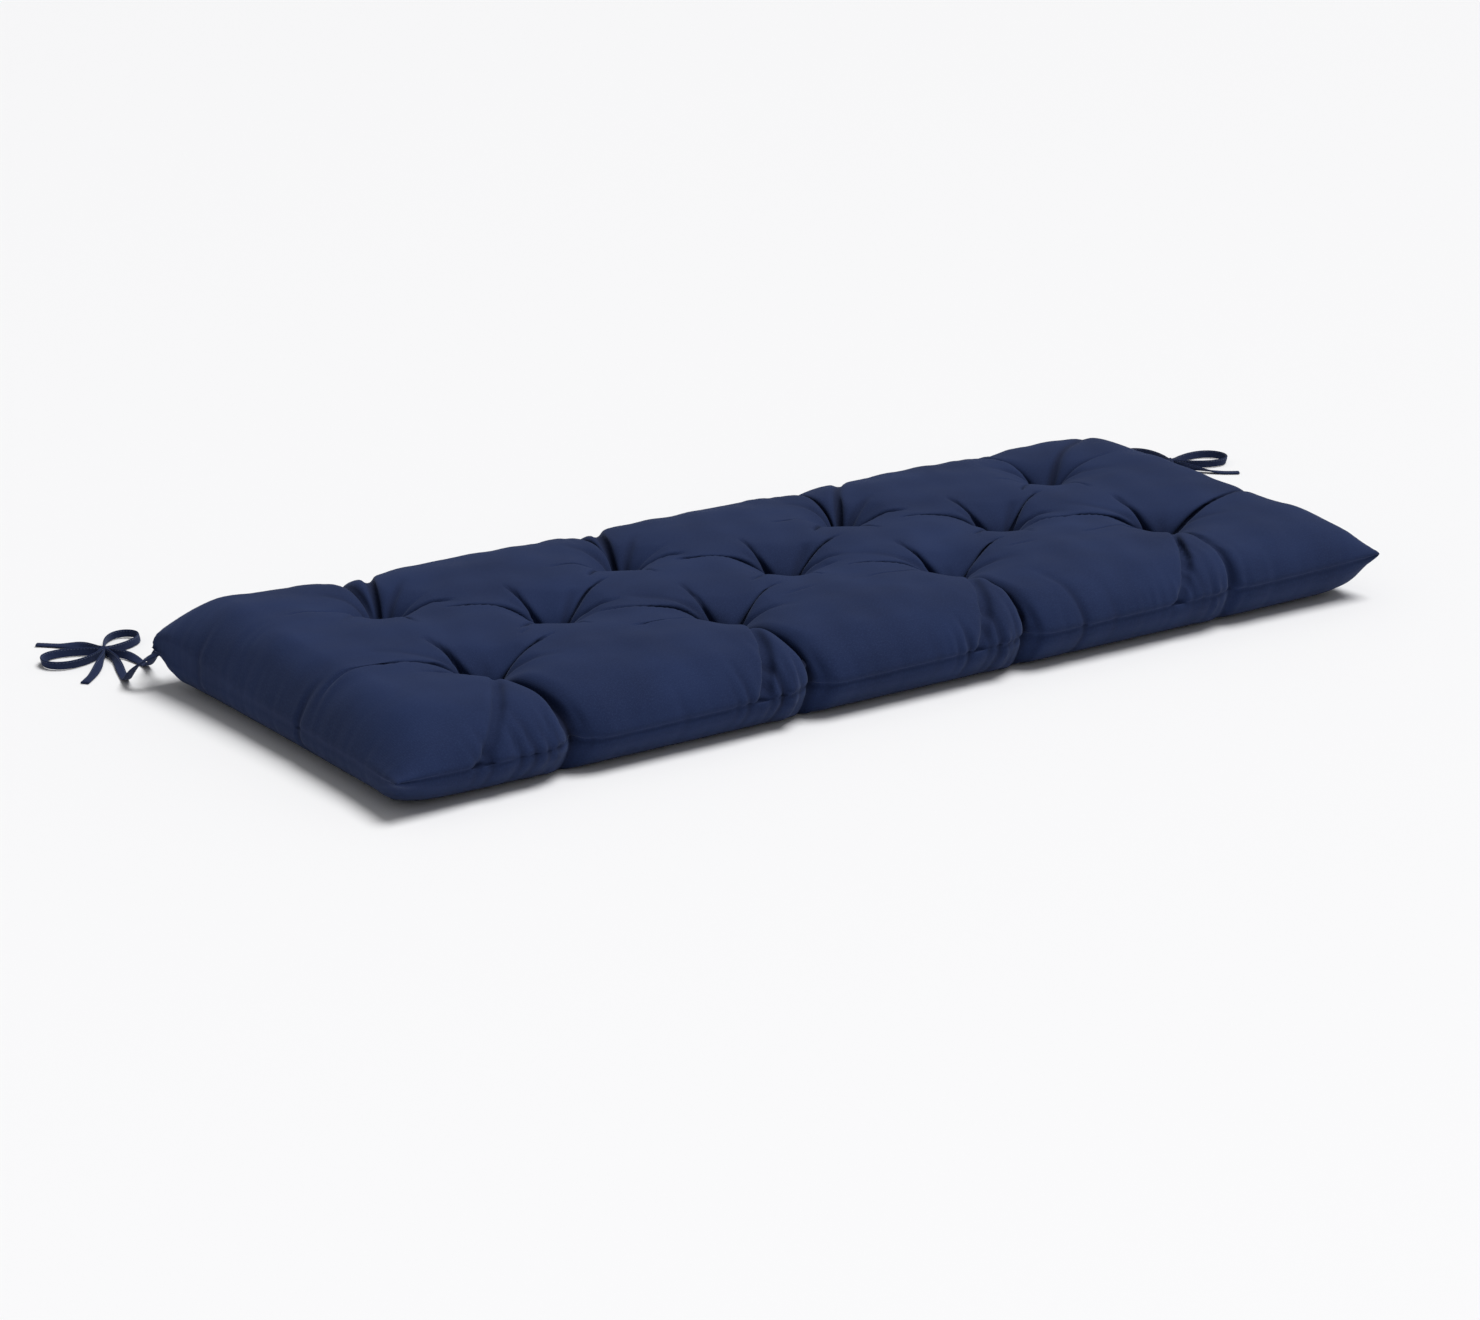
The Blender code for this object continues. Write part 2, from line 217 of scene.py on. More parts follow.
def lead_route(knot, direction, seam_point, outward):
    """From the cover's seam down to the surface, and along it to the knot."""
    start = Vector((seam_point.x, seam_point.y, 0)) + outward * TAPE_SEAM_GAP
    end = knot_side(knot, direction)
    handles = start + outward * LEAD_HANDLE, end + direction * LEAD_HANDLE
    points = interpolate_bezier(start, *handles, end, LEAD_STEPS)
    rolls = []
    run = 0
    for k, point in enumerate(points):
        run += (point - points[max(k - 1, 0)]).xy.length
        roll = math.radians(90) * ease(2.5 * k / (LEAD_STEPS - 1) - 1.5)
        rest = resting_height(roll)
        point.z = rest + (seam_point.z - rest) * (1 - ease(run / LEAD_DROP_LENGTH))
        rolls.append(roll)
    return points, rolls


def loop_route(knot, row):
    """A teardrop that leaves the knot and comes back to it, standing on its edge."""
    out = heading(row["heading"] - row["spread"])
    back = heading(row["heading"] + row["spread"])
    start, end = knot_side(knot, out), knot_side(knot, back)
    handle = row["reach"] / (0.75 * math.cos(math.radians(row["spread"])))
    handles = start + out * handle, end + back * handle
    points = interpolate_bezier(start, *handles, end, LOOP_STEPS)
    turns = [math.sin(math.pi * k / (LOOP_STEPS - 1)) for k in range(LOOP_STEPS)]
    rolls = [math.radians(90 - 14 * turn) for turn in turns]
    for point, roll in zip(points, rolls):
        point.z = resting_height(roll)
    return points, rolls


def end_route(knot, row):
    """A free end that leaves the knot on its edge and turns over to lie flat."""
    out = heading(row["heading"])
    start = knot_side(knot, out)
    tip = start + heading(row["heading"] + row["bend"]) * row["length"]
    handle = row["length"] / 3
    late = tip - heading(row["heading"] + 2 * row["bend"]) * handle
    points = interpolate_bezier(start, start + out * handle, late, tip, END_STRAND_STEPS)
    shares = [k / (END_STRAND_STEPS - 1) for k in range(END_STRAND_STEPS)]
    rolls = [math.radians(90) * (1 - ease(1.3 * share)) for share in shares]
    for point, roll in zip(points, rolls):
        point.z = resting_height(roll)
    return points, rolls


# %% [markdown]
# ## Colours and nodes
#
# Colours are written as sRGB hex, as a paint or dye chart gives them, and one function turns them
# to the linear values that shaders work in. A second small function adds any node with its
# settings and links, which keeps each material readable as a list of what it does.

# %% Helpers for colours and nodes
def linear(hex_colour):
    """Linear red, green and blue of an sRGB hex colour, with full alpha."""
    values = []
    for k in (1, 3, 5):
        c = int(hex_colour[k : k + 2], 16) / 255
        values.append(c / 12.92 if c <= 0.04045 else ((c + 0.055) / 1.055) ** 2.4)
    return (*values, 1.0)


def add(tree, kind, settings=(), **sockets):
    """Adds a node. A socket's value is a number, a colour or another node's output."""
    node = tree.nodes.new(kind)
    for name, value in dict(settings).items():
        setattr(node, name, value)
    for name, value in sockets.items():
        key = int(name[1:]) if name[0] == "i" and name[1:].isdigit() else name.replace("_", " ")
        if isinstance(value, bpy.types.NodeSocket):
            tree.links.new(value, node.inputs[key])
        else:
            node.inputs[key].default_value = value
    return node


def new_material(name):
    material = bpy.data.materials.new(name)
    material.use_nodes = True
    material.node_tree.nodes.clear()
    return material, material.node_tree


# %% [markdown]
# ## The cloth
#
# The cover is a plain-woven polyester and cotton canvas, dyed navy. A weave this fine, about
# 18 threads to the centimetre, reads as a matte colour with a faint soft sheen at grazing angles
# where the fibre ends catch light, and never as gloss. Its threads are drawn three times as
# coarse as the real ones, and about one and a half times on the tapes, or they would vanish in the
# render. The dye is a little lighter where the cloth is rubbed, and it varies slowly over a panel.

# %% Woven canvas
THREAD_PITCH = 0.0016
WEAVE_BUMP = 0.00012
CANVAS_NAVY = "#1d2b4f"
CANVAS_DEEP = "#172343"
CANVAS_WORN = "#273659"
# Painted shade: the dark navy that the bottoms of creases, pleats and drawn-in lines are painted
# with
CANVAS_FOLD_SHADE = "#0a1026"
TAPE_NAVY = "#212c4c"
TAPE_DEEP = "#19223e"
TAPE_WORN = "#2c3858"
SHEEN_BLUE = "#9fb0d8"
SLUBS_PER_METRE = 260.0
DYE_CLOUDS_PER_METRE = 9.0
FLECKS_PER_METRE = 700.0


def woven_cloth(name, light, deep, worn, pitch, bump_height):
    """A plain weave over the "cut" map, whose coordinates are metres on the flat cloth.

    The attribute "fold" paints shade into the colour: it is 1 in the bottom of a sharp crease,
    where two layers of cloth meet and hardly any light gets in, and 0 elsewhere. A mesh without
    it has none.
    """
    material, tree = new_material(name)
    cut = add(tree, "ShaderNodeUVMap", {"uv_map": "cut"}).outputs["UV"]
    split = add(tree, "ShaderNodeSeparateXYZ", Vector=cut)

    def calculate(operation, **values):
        return add(tree, "ShaderNodeMath", {"operation": operation}, **values).outputs[0]

    def noise(scale, **settings):
        node = add(tree, "ShaderNodeTexNoise", Vector=cut, Scale=scale, **settings)
        return node.outputs["Fac"]

    def spread(value, low, high, **settings):
        node = add(tree, "ShaderNodeMapRange", Value=value, From_Min=low, From_Max=high, **settings)
        return node.outputs["Result"]

    def mix(factor, first, second):
        kind = {"data_type": "RGBA"}
        return add(tree, "ShaderNodeMix", kind, Factor=factor, i6=first, i7=second).outputs[2]

    crossing = []
    for axis in ("X", "Y"):
        turns = calculate("MULTIPLY", i0=split.outputs[axis], i1=math.pi / pitch)
        crossing.append(calculate("SINE", i0=turns))
    over = calculate("ABSOLUTE", i0=calculate("MULTIPLY", i0=crossing[0], i1=crossing[1]))
    slubs = noise(SLUBS_PER_METRE, Detail=3.0, Roughness=0.6)
    height = calculate("MULTIPLY_ADD", i0=slubs, i1=0.7, i2=over)
    relief = add(tree, "ShaderNodeBump", Strength=0.55, Distance=bump_height, Height=height)
    cloudy = spread(noise(DYE_CLOUDS_PER_METRE, Detail=4.0, Roughness=0.55), 0.35, 0.7)
    dye = mix(cloudy, linear(deep), linear(light))
    flecks = spread(noise(FLECKS_PER_METRE, Detail=2.0), 0.45, 0.75, To_Max=0.45)
    colour = mix(flecks, dye, linear(worn))
    # Painted shade: where the attribute "fold" is high, the colour is mixed towards a dark navy
    fold = add(tree, "ShaderNodeAttribute", {"attribute_name": "fold"}).outputs["Fac"]
    shader = add(
        tree,
        "ShaderNodeBsdfPrincipled",
        Base_Color=mix(fold, colour, linear(CANVAS_FOLD_SHADE)),
        Roughness=0.88,
        IOR=1.46,
        Normal=relief.outputs["Normal"],
    )
    shader.inputs["Specular IOR Level"].default_value = 0.18
    shader.inputs["Sheen Weight"].default_value = 0.12
    shader.inputs["Sheen Roughness"].default_value = 0.45
    shader.inputs["Sheen Tint"].default_value = linear(SHEEN_BLUE)
    add(tree, "ShaderNodeOutputMaterial", Surface=shader.outputs["BSDF"])
    return material


canvas = woven_cloth(
    "navy_plain_woven_canvas", CANVAS_NAVY, CANVAS_DEEP, CANVAS_WORN, THREAD_PITCH, WEAVE_BUMP
)
tape_canvas = woven_cloth(
    "navy_canvas_tape", TAPE_NAVY, TAPE_DEEP, TAPE_WORN, THREAD_PITCH / 2, WEAVE_BUMP
)


# %% Polyester sewing thread
def sewing_thread():
    """Smooth filament thread: rounder and a little glossier than the cloth round it."""
    material, tree = new_material("navy_polyester_thread")
    navy = linear("#33405f")
    shader = add(tree, "ShaderNodeBsdfPrincipled", Base_Color=navy, Roughness=0.5, IOR=1.5)
    shader.inputs["Sheen Weight"].default_value = 0.15
    add(tree, "ShaderNodeOutputMaterial", Surface=shader.outputs["BSDF"])
    return material


thread = sewing_thread()


# %% [markdown]
# ## Building the tapes
#
# A tie tape is a strip of the cover's cloth with its raw edges folded in, sewn shut along one
# side. Its section is therefore a flat roll: thick in the middle, pressed thin along the stitch
# line. A curve with a bevel would twist it as it pleases, so the section is swept by hand, with
# the same roll at each point as the solid model has.

# %% From loose faces to a piece of the scene
def made_into_piece(bm, name, *materials):
    """Turns every face outwards, and puts the faces into the scene as one object."""
    bmesh.ops.recalc_face_normals(bm, faces=bm.faces)
    mesh = bpy.data.meshes.new(name)
    bm.to_mesh(mesh)
    bm.free()
    for material in materials:
        mesh.materials.append(material)
    piece = bpy.data.objects.new(name, mesh)
    scene.collection.objects.link(piece)
    return piece


# %% Sweeping a tape's section
def tape_section():
    """Half-width and half-thickness places round a folded tape, with a dent at its stitching."""
    places = []
    turns = 20
    for k in range(turns):
        angle = 2 * math.pi * k / turns
        across = math.copysign(abs(math.cos(angle)) ** 0.55, math.cos(angle))
        up = math.copysign(abs(math.sin(angle)) ** 0.75, math.sin(angle))
        dent = 1 - 0.30 * float(bump(across - 0.68, 0.16))
        dent = dent - 0.10 * float(bump(across + 0.2, 0.5))
        places.append((across * TAPE_WIDTH / 2, up * dent * TAPE_THICKNESS / 2))
    return places


def run_along(line):
    """How much tape lies before each point."""
    return np.concatenate([[0], np.cumsum(np.linalg.norm(np.diff(line, axis=0), axis=1))])


def resample(points, rolls, step):
    """Even, closer points on the same route."""
    line = np.array([tuple(p) for p in points])
    run = run_along(line)
    count = max(4, int(run[-1] / step))
    at = np.linspace(0, run[-1], count)
    fine = np.stack([np.interp(at, run, line[:, axis]) for axis in range(3)], axis=1)
    for _ in range(2):
        fine[1:-1] = 0.25 * fine[:-2] + 0.5 * fine[1:-1] + 0.25 * fine[2:]
    return fine, np.interp(at, run, rolls)


def frames(line, rolls):
    """At each point: the direction across the tape and the one out of its face."""
    ahead = np.gradient(line, axis=0)
    ahead /= np.linalg.norm(ahead, axis=1)[:, None]
    level = np.cross(ahead, (0, 0, 1))
    level /= np.maximum(np.linalg.norm(level, axis=1), 1e-9)[:, None]
    upward = np.cross(level, ahead)
    c, s = np.cos(rolls)[:, None], np.sin(rolls)[:, None]
    return level * c + upward * s, upward * c - level * s


TAPE_STEP = 0.0022
STITCH_PITCH = 0.0032
STITCH_LENGTH = 0.0021
STITCH_RADIUS = 0.00032
STITCH_PLACE = 0.68
STITCH_LIFT = 0.66


def add_tube(bm, path, radius, layer, material_index=0, sides=6):
    """A round thread along a path, closed at both ends by a small cap."""
    rings = []
    for k, point in enumerate(path):
        ahead = (path[min(k + 1, len(path) - 1)] - path[max(k - 1, 0)]).normalized()
        side = ahead.orthogonal().normalized()
        over = ahead.cross(side)
        size = radius * (0.55 if k in (0, len(path) - 1) else 1.0)
        ring = []
        for n in range(sides):
            a = 2 * math.pi * n / sides
            ring.append(bm.verts.new(point + (side * math.cos(a) + over * math.sin(a)) * size))
        rings.append(ring)
    faces = [bm.faces.new(rings[0][::-1]), bm.faces.new(rings[-1])]
    for ring, following in zip(rings, rings[1:]):
        for n in range(sides):
            m = (n + 1) % sides
            faces.append(bm.faces.new((ring[n], ring[m], following[m], following[n])))
    for face in faces:
        face.material_index = material_index
        face.smooth = True
        for loop in face.loops:
            loop[layer].uv = (0.0, 0.0)


def tape_strand(bm, layer, points, rolls):
    """One stretch of tape with its edge stitching. Returns its line."""
    line, rolls = resample(points, rolls, TAPE_STEP)
    wide, out = frames(line, rolls)
    section = tape_section()
    rings = []
    run = run_along(line)
    for k in range(len(line)):
        ripple = 1 + 0.05 * math.sin(run[k] * 410) + 0.04 * math.sin(run[k] * 173 + 1)
        ring = []
        for across, up in section:
            place = line[k] + wide[k] * across + out[k] * up * ripple
            ring.append(bm.verts.new(place))
        rings.append(ring)
    count = len(section)
    for k in range(len(rings) - 1):
        for n in range(count):
            m = (n + 1) % count
            face = bm.faces.new((rings[k][n], rings[k][m], rings[k + 1][m], rings[k + 1][n]))
            face.smooth = True
            steps = ((k, n), (k, n + 1), (k + 1, n + 1), (k + 1, n))
            for loop, (i, j) in zip(face.loops, steps):
                loop[layer].uv = (run[i], j * TAPE_WIDTH / (count / 2))
    for ring, turned in ((rings[0], True), (rings[-1], False)):
        face = bm.faces.new(ring[::-1] if turned else ring)
        for loop in face.loops:
            loop[layer].uv = (run[0], 0)
    stitch_tape(bm, layer, line, wide, out, run)
    return line


def stitch_tape(bm, layer, line, wide, out, run):
    """Short stitches that lie in the dent along one side of the tape, on both faces."""
    across = STITCH_PLACE * TAPE_WIDTH / 2
    lift = STITCH_LIFT * TAPE_THICKNESS / 2
    start = run[0] + STITCH_PITCH
    while start + STITCH_LENGTH < run[-1] - STITCH_PITCH / 2:
        at = np.linspace(start, start + STITCH_LENGTH, 4)
        middle = np.stack([np.interp(at, run, line[:, a]) for a in range(3)], axis=1)
        side = np.stack([np.interp(at, run, wide[:, a]) for a in range(3)], axis=1)
        face = np.stack([np.interp(at, run, out[:, a]) for a in range(3)], axis=1)
        for sign in (1, -1):
            path = middle + side * across + face * lift * sign
            add_tube(bm, [Vector(p) for p in path], STITCH_RADIUS, layer, material_index=1)
        start += STITCH_PITCH


# %% Each tape through its knot
def tape_piece(name, strands, knot):
    """One whole tape: lead, loop and free end, which pass through the middle of the knot."""
    middle = Vector((knot.x, knot.y, TAPE_CLEARANCE + KNOT_RADII.z))
    (lead, lead_rolls), (loop, loop_rolls), (tail, tail_rolls) = strands
    route = [*lead, middle, *loop, middle, *tail]
    rolls = [*lead_rolls, math.radians(90), *loop_rolls, math.radians(90), *tail_rolls]
    bm = bmesh.new()
    layer = bm.loops.layers.uv.new("cut")
    line = tape_strand(bm, layer, route, rolls)
    return made_into_piece(bm, name, tape_canvas, thread), line


# %% [markdown]
# ## The knots
#
# A bow's knot is one tape wrapped once round the other and pulled tight, so what shows is a
# short upright band with a slanting turn behind it. Two closed bands of tape are swept round an
# egg-shaped middle, one nearly square to the loops and one slanting.

# %% Wrapping a knot
BAND_STEPS = 40
BAND_SIDES = 14


def band(bm, layer, middle, radii, axis_angle, lean, width, thick, phase):
    """A closed turn of tape round the knot. Its axis lies level at axis_angle, and it leans."""
    upright = Vector((0, 0, 1))
    lean = math.radians(lean)
    axis = (heading(axis_angle) * math.cos(lean) + upright * math.sin(lean)).normalized()
    side = axis.cross(upright).normalized()
    over = side.cross(axis).normalized()
    rings = []
    for k in range(BAND_STEPS):
        a = 2 * math.pi * k / BAND_STEPS
        outward = side * math.cos(a) + over * math.sin(a)
        reach = radii[0] * abs(math.cos(a)) ** 2 + radii[1] * abs(math.sin(a)) ** 2
        slack = 1 + 0.05 * math.sin(3 * a + phase)
        ring = []
        for n in range(BAND_SIDES):
            b = 2 * math.pi * n / BAND_SIDES
            across = math.copysign(abs(math.cos(b)) ** 0.6, math.cos(b)) * width / 2
            up = math.sin(b) * thick / 2
            fold = 0.00045 * math.sin(across * 1900 + 2 * math.sin(2 * a + phase))
            curl = -0.9 * across**2 / radii[1]
            place = middle + axis * across * slack + outward * (reach + up + fold + curl)
            ring.append(bm.verts.new(place))
        rings.append(ring)
    for k in range(BAND_STEPS):
        for n in range(BAND_SIDES):
            a, b = rings[k], rings[(k + 1) % BAND_STEPS]
            m = (n + 1) % BAND_SIDES
            face = bm.faces.new((a[n], a[m], b[m], b[n]))
            face.smooth = True
            corners = ((k, n), (k, n + 1), (k + 1, n + 1), (k + 1, n))
            for loop, (i, j) in zip(face.loops, corners):
                loop[layer].uv = (i * 0.001, j * 0.0012)


def knot_piece(name, knot, turn_angle):
    middle = Vector((knot.x, knot.y, KNOT_RADII.z + TAPE_CLEARANCE))
    bm = bmesh.new()
    layer = bm.loops.layers.uv.new("cut")
    band(bm, layer, middle, (0.0058, 0.0040), turn_angle, 8, 0.0080, 0.0019, 0.0)
    band(bm, layer, middle, (0.0050, 0.0034), turn_angle + 62, -14, 0.0095, 0.0019, 1.7)
    made = bmesh.ops.create_icosphere(bm, subdivisions=3, radius=1)
    filling = KNOT_RADII.x * 0.84, KNOT_RADII.y * 0.84, KNOT_RADII.z * 0.72
    bmesh.ops.scale(bm, vec=filling, verts=made["verts"])
    bmesh.ops.translate(bm, vec=middle, verts=made["verts"])
    piece = made_into_piece(bm, name, tape_canvas)
    piece.data.shade_smooth()
    return piece


# %% Both bows
def dress_bow(side, bow):
    sign = math.copysign(1, bow["knot"][0])
    knot = Vector((*bow["knot"], 0))
    inner = TAPE_SEAM_OFFSET
    seams = {
        "lead_back": (seam_place(sign * (HALF_LENGTH - inner), HALF_DEPTH), Vector((0, 1, 0))),
        "lead_end": (seam_place(sign * HALF_LENGTH, HALF_DEPTH - inner), Vector((sign, 0, 0))),
    }
    knot_wrap = knot_piece(f"tie_{side}_knot_wrap", knot, bow["loop_out"]["heading"])
    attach(knot_wrap, "root")
    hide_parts(f"tie_{side}_knot")
    tapes = (
        ("back", "lead_back", "loop_out", "end_back"),
        ("end", "lead_end", "loop_in", "end_front"),
    )
    for tape, lead, loop, tail in tapes:
        turn_first = bow[loop].get("from_far_side", False)
        round_loop = loop_route(knot, bow[loop])
        if turn_first:
            round_loop = round_loop[0][::-1], round_loop[1][::-1]
        strands = (
            lead_route(knot, heading(bow[lead]["heading"]), *seams[lead]),
            round_loop,
            end_route(knot, bow[tail]),
        )
        piece, line = tape_piece(f"tie_{side}_{tape}_tape", strands, knot)
        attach(piece, "root")
        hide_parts(*(f"tie_{side}_{strand}" for strand in (lead, loop, tail)))


for side, bow in BOWS.items():
    dress_bow(side, bow)

# %% [markdown]
# ## The cover, as cut and as filled
#
# Each panel is a grid of the cloth's own points. A line runs through every tuft, with even steps
# between, and five close lines follow the seam, where the cloth turns sharply. The grid starts on
# the filled shape of the solid model, a crown that rolls over to the seams and is drawn down at the
# tufts, with sharper creases than that model has.

# %% The filled shape
CROWN = 0.090
FRONT_DROP = 0.006
SIDE_TOP_ROLL = 0.105
LEFT_END_TOP_ROLL = 0.060
RIGHT_END_TOP_ROLL = 0.082
SIDE_UNDER_ROLL = 0.046
END_UNDER_ROLL = 0.024
CORNER_UNDER_ROLL = 0.060
BACK_LEFT_UNDER_ROLL = 0.032
TUFT_PULL = 0.044
TUFT_REACH = 0.034
TUFT_BOTTOM_RADIUS = 0.007
UNDER_TUFT_DEPTH = 0.010
UNDER_TUFT_RADIUS = 0.038
EDGE_CHANNEL_DEPTH = 0.026
EDGE_CHANNEL_WIDTH = 0.0062
FOLD_DEPTH = 0.011
FOLD_WIDTH = 0.011
FOLD_REACH = 0.030
END_FOLD_LENGTH = 0.070
END_FOLD_DEPTH = 0.005
LOBE_REACH = 0.026
# Corners that are filled fuller than the others: left or right, front or back, and how much
FULL_CORNERS = [(-1, 1, 0.66), (1, -1, 0.30)]
FULL_CORNER_REACH = 0.13
LOBE_SWELL = 0.0022
TUFTS = [(x, 0.0) for x in MIDDLE_COLUMNS]
TUFTS += [(x, y) for y in (-TUFT_ROW_GAP, TUFT_ROW_GAP) for x in EDGE_COLUMNS]


def roll_over(inset, radius):
    """Quarter-circle rise from 0 at the seam to 1 at one radius in from it."""
    out = 1 - np.minimum(inset / radius, 1)
    return np.sqrt(1 - out**2)


def along_and_off(p, q, start, end):
    """Position along the line from start to end, and distance from that line."""
    step = np.subtract(end, start)
    length = np.hypot(*step)
    t = ((p - start[0]) * step[0] + (q - start[1]) * step[1]) / length
    held = np.clip(t, 0, length)
    off = np.hypot(p - start[0] - held * step[0] / length, q - start[1] - held * step[1] / length)
    return held, off, length


def fold_depth(p, q):
    """Folds that run from each tuft towards its neighbours, and outwards at the ends."""
    depth = np.zeros_like(p)
    for column in MIDDLE_COLUMNS:
        for across in (-TUFT_PITCH / 2, TUFT_PITCH / 2):
            for row in (-TUFT_ROW_GAP, TUFT_ROW_GAP):
                held, off, length = along_and_off(p, q, (column, 0.0), (column + across, row))
                fade = np.exp(-held / FOLD_REACH) + np.exp(-(length - held) / FOLD_REACH)
                depth = np.maximum(depth, FOLD_DEPTH * fade * bump(off, FOLD_WIDTH))
    for column, row in TUFTS:
        if abs(column) < EDGE_COLUMNS[-1]:
            continue
        out = math.copysign(END_FOLD_LENGTH, column)
        held, off, _ = along_and_off(p, q, (column, row), (column + out, row))
        fold = END_FOLD_DEPTH * np.exp(-held / FOLD_REACH) * bump(off, FOLD_WIDTH)
        depth = np.maximum(depth, fold)
    return depth


def cusp(distance, width):
    """Like bump, with a sharper bottom, as where two full lobes meet."""
    return np.exp(-((np.abs(distance) / width) ** 1.2))


def edge_channel_depth(p, q):
    """Channels from each front and back tuft out to its own edge."""
    beyond = np.clip(2 * np.abs(q) / TUFT_ROW_GAP - 1, 0, 1)
    at = straightened(p, q)
    across = sum(share * cusp(at - column, EDGE_CHANNEL_WIDTH) for column, share in edge_columns(q))
    return EDGE_CHANNEL_DEPTH * across * beyond


def tuft_depth(p, q, reach=TUFT_REACH):
    """Funnels that the stitches draw down, sharp at the stitch and wide at the top."""
    depth = np.zeros_like(p)
    for column, row in TUFTS:
        distance = np.hypot(p - column, q - row)
        eased = np.sqrt(distance**2 + TUFT_BOTTOM_RADIUS**2) - TUFT_BOTTOM_RADIUS
        depth += TUFT_PULL * np.exp(-eased / reach)
    return depth


# %% Sharp creases at the tufts
# Each crease: angle in degrees, length, depth, width, sideways bend, share left at its far end
CREASES = {
    "front": [
        (96, 0.086, 0.0105, 0.0036, 0.004, 0.0),
        (24, 0.086, 0.0105, 0.0036, -0.003, 0.0),
        (151, 0.100, 0.0085, 0.0038, -0.008, 0.0),
        (130, 0.110, 0.0045, 0.0036, -0.006, 0.0),
        (70, 0.034, 0.0040, 0.0034, 0.0, 0.0),
        (342, 0.075, 0.0050, 0.0036, 0.003, 0.0),
    ],
    "middle": [
        (100, 0.076, 0.0105, 0.0036, 0.004, 0.0),
        (22, 0.088, 0.0100, 0.0036, -0.002, 0.0),
        (151, 0.100, 0.0085, 0.0038, -0.007, 0.0),
        (40, 0.060, 0.0060, 0.0034, 0.0, 0.0),
        (124, 0.060, 0.0045, 0.0034, -0.003, 0.0),
        (213, 0.070, 0.0040, 0.0036, -0.006, 0.0),
        (345, 0.075, 0.0045, 0.0036, 0.004, 0.0),
    ],
    "back": [
        (95, 0.133, 0.0100, 0.0036, -0.004, 0.4),
        (70, 0.120, 0.0090, 0.0038, 0.003, 0.3),
        (40, 0.070, 0.0060, 0.0036, 0.0, 0.0),
        (130, 0.070, 0.0065, 0.0036, -0.004, 0.0),
        (213, 0.075, 0.0045, 0.0036, -0.006, 0.0),
        (331, 0.075, 0.0045, 0.0036, 0.006, 0.0),
    ],
}
# Each tuft: degrees by which its left creases are turned, and its right ones
TURNS = {
    ("front", 0): (8, -6), ("front", 1): (-6, 3), ("front", 2): (2, 0), ("front", 3): (-9, -11),
    ("middle", 0): (1, 5), ("middle", 1): (-3, -1), ("middle", 2): (3, 6),
    ("back", 0): (0, 0), ("back", 1): (-3, 0), ("back", 2): (-6, -18), ("back", 3): (10, -36),
}
RIGHT_END_CREASE = (15, 0.165, 0.0085, 0.0042, -0.004, 0.0)
CHANNEL_CREASE = (270, 0.134, 0.0105, 0.0040, 0.0, 0.45)
# Each front tuft's side crease: angle and depth. Then what they share: width, bend, share left.
SIDE_CREASES = [(236, 0.0075), (244, 0.0080), (243, 0.0060), (241, 0.0070)]
SIDE_CREASE_SHAPE = (0.0036, 0.004, 1.0)
SIDE_CREASE_BEGIN = 0.022
SIDE_CREASE_GROWTH = 0.045
SIDE_CREASE_PRESS = 0.35
SIDE_CREASE_SHADE = 0.35


def ray_crease(p, q, narrow, column, row, angle, length, depth, width, bend, left, begin=0.0):
    """A crease that leaves a tuft at an angle, curves a little and fades to the share that is left.
    With a begin, it starts that far from the tuft and deepens slowly."""
    ahead = heading(angle)
    along = (p - column) * ahead.x + (q - row) * ahead.y
    off = -(p - column) * ahead.y + (q - row) * ahead.x
    t = np.clip(along / length, 0, 1)
    off = off - bend * 4 * t * (1 - t) * (along > 0)
    fade = (left + (1 - left) * (1 - t) ** 0.6) * (along > -0.002)
    if begin:
        fade = fade * np.clip((along - begin) / SIDE_CREASE_GROWTH, 0, 1)
    broad = narrow * width * (1 + 0.6 * t)
    return depth * fade * np.exp(-((off / broad) ** 2))


def tuft_creases():
    """Every tuft's own creases. The ones over the top are turned a little from tuft to tuft."""
    rows = (
        ("front", EDGE_COLUMNS, -TUFT_ROW_GAP),
        ("middle", MIDDLE_COLUMNS, 0.0),
        ("back", EDGE_COLUMNS, TUFT_ROW_GAP),
    )
    for kind, columns, row in rows:
        for number, column in enumerate(columns):
            left_turn, right_turn = TURNS[kind, number]
            for angle, *shape in CREASES[kind]:
                turn = right_turn if angle < 80 else left_turn if angle < 200 else 0
                yield (column, row, angle + turn, *shape)
    yield (EDGE_COLUMNS[-1], -TUFT_ROW_GAP, *RIGHT_END_CREASE)
    angle, length, depth, *shape = CHANNEL_CREASE
    for column, share in zip(EDGE_COLUMNS, FRONT_SHARE):
        yield (column, -TUFT_ROW_GAP, angle, length, depth * share, *shape)


def side_creases():
    """The second crease in front of each front tuft, which is deepest near the seam."""
    for column, (angle, depth) in zip(EDGE_COLUMNS, SIDE_CREASES):
        length = (HALF_DEPTH - TUFT_ROW_GAP) / abs(heading(angle).y)
        yield (column, -TUFT_ROW_GAP, angle, length, depth, *SIDE_CREASE_SHAPE, SIDE_CREASE_BEGIN)


def deepest(creases, p, q, narrow):
    depth = np.zeros_like(p)
    at = straightened(p, q)
    for crease in creases:
        depth = np.maximum(depth, ray_crease(at, q, narrow, *crease))
    return depth


def crease_depth(p, q, narrow=1.0):
    return np.maximum(deepest(tuft_creases(), p, q, narrow), deepest(side_creases(), p, q, narrow))


def crown_height(q):
    """The filling lies a little lower towards the front edge."""
    forward = np.clip(0.5 - q / (2 * TUFT_ROW_GAP), 0, 1)
    return CROWN - FRONT_DROP * forward**2 * (3 - 2 * forward)


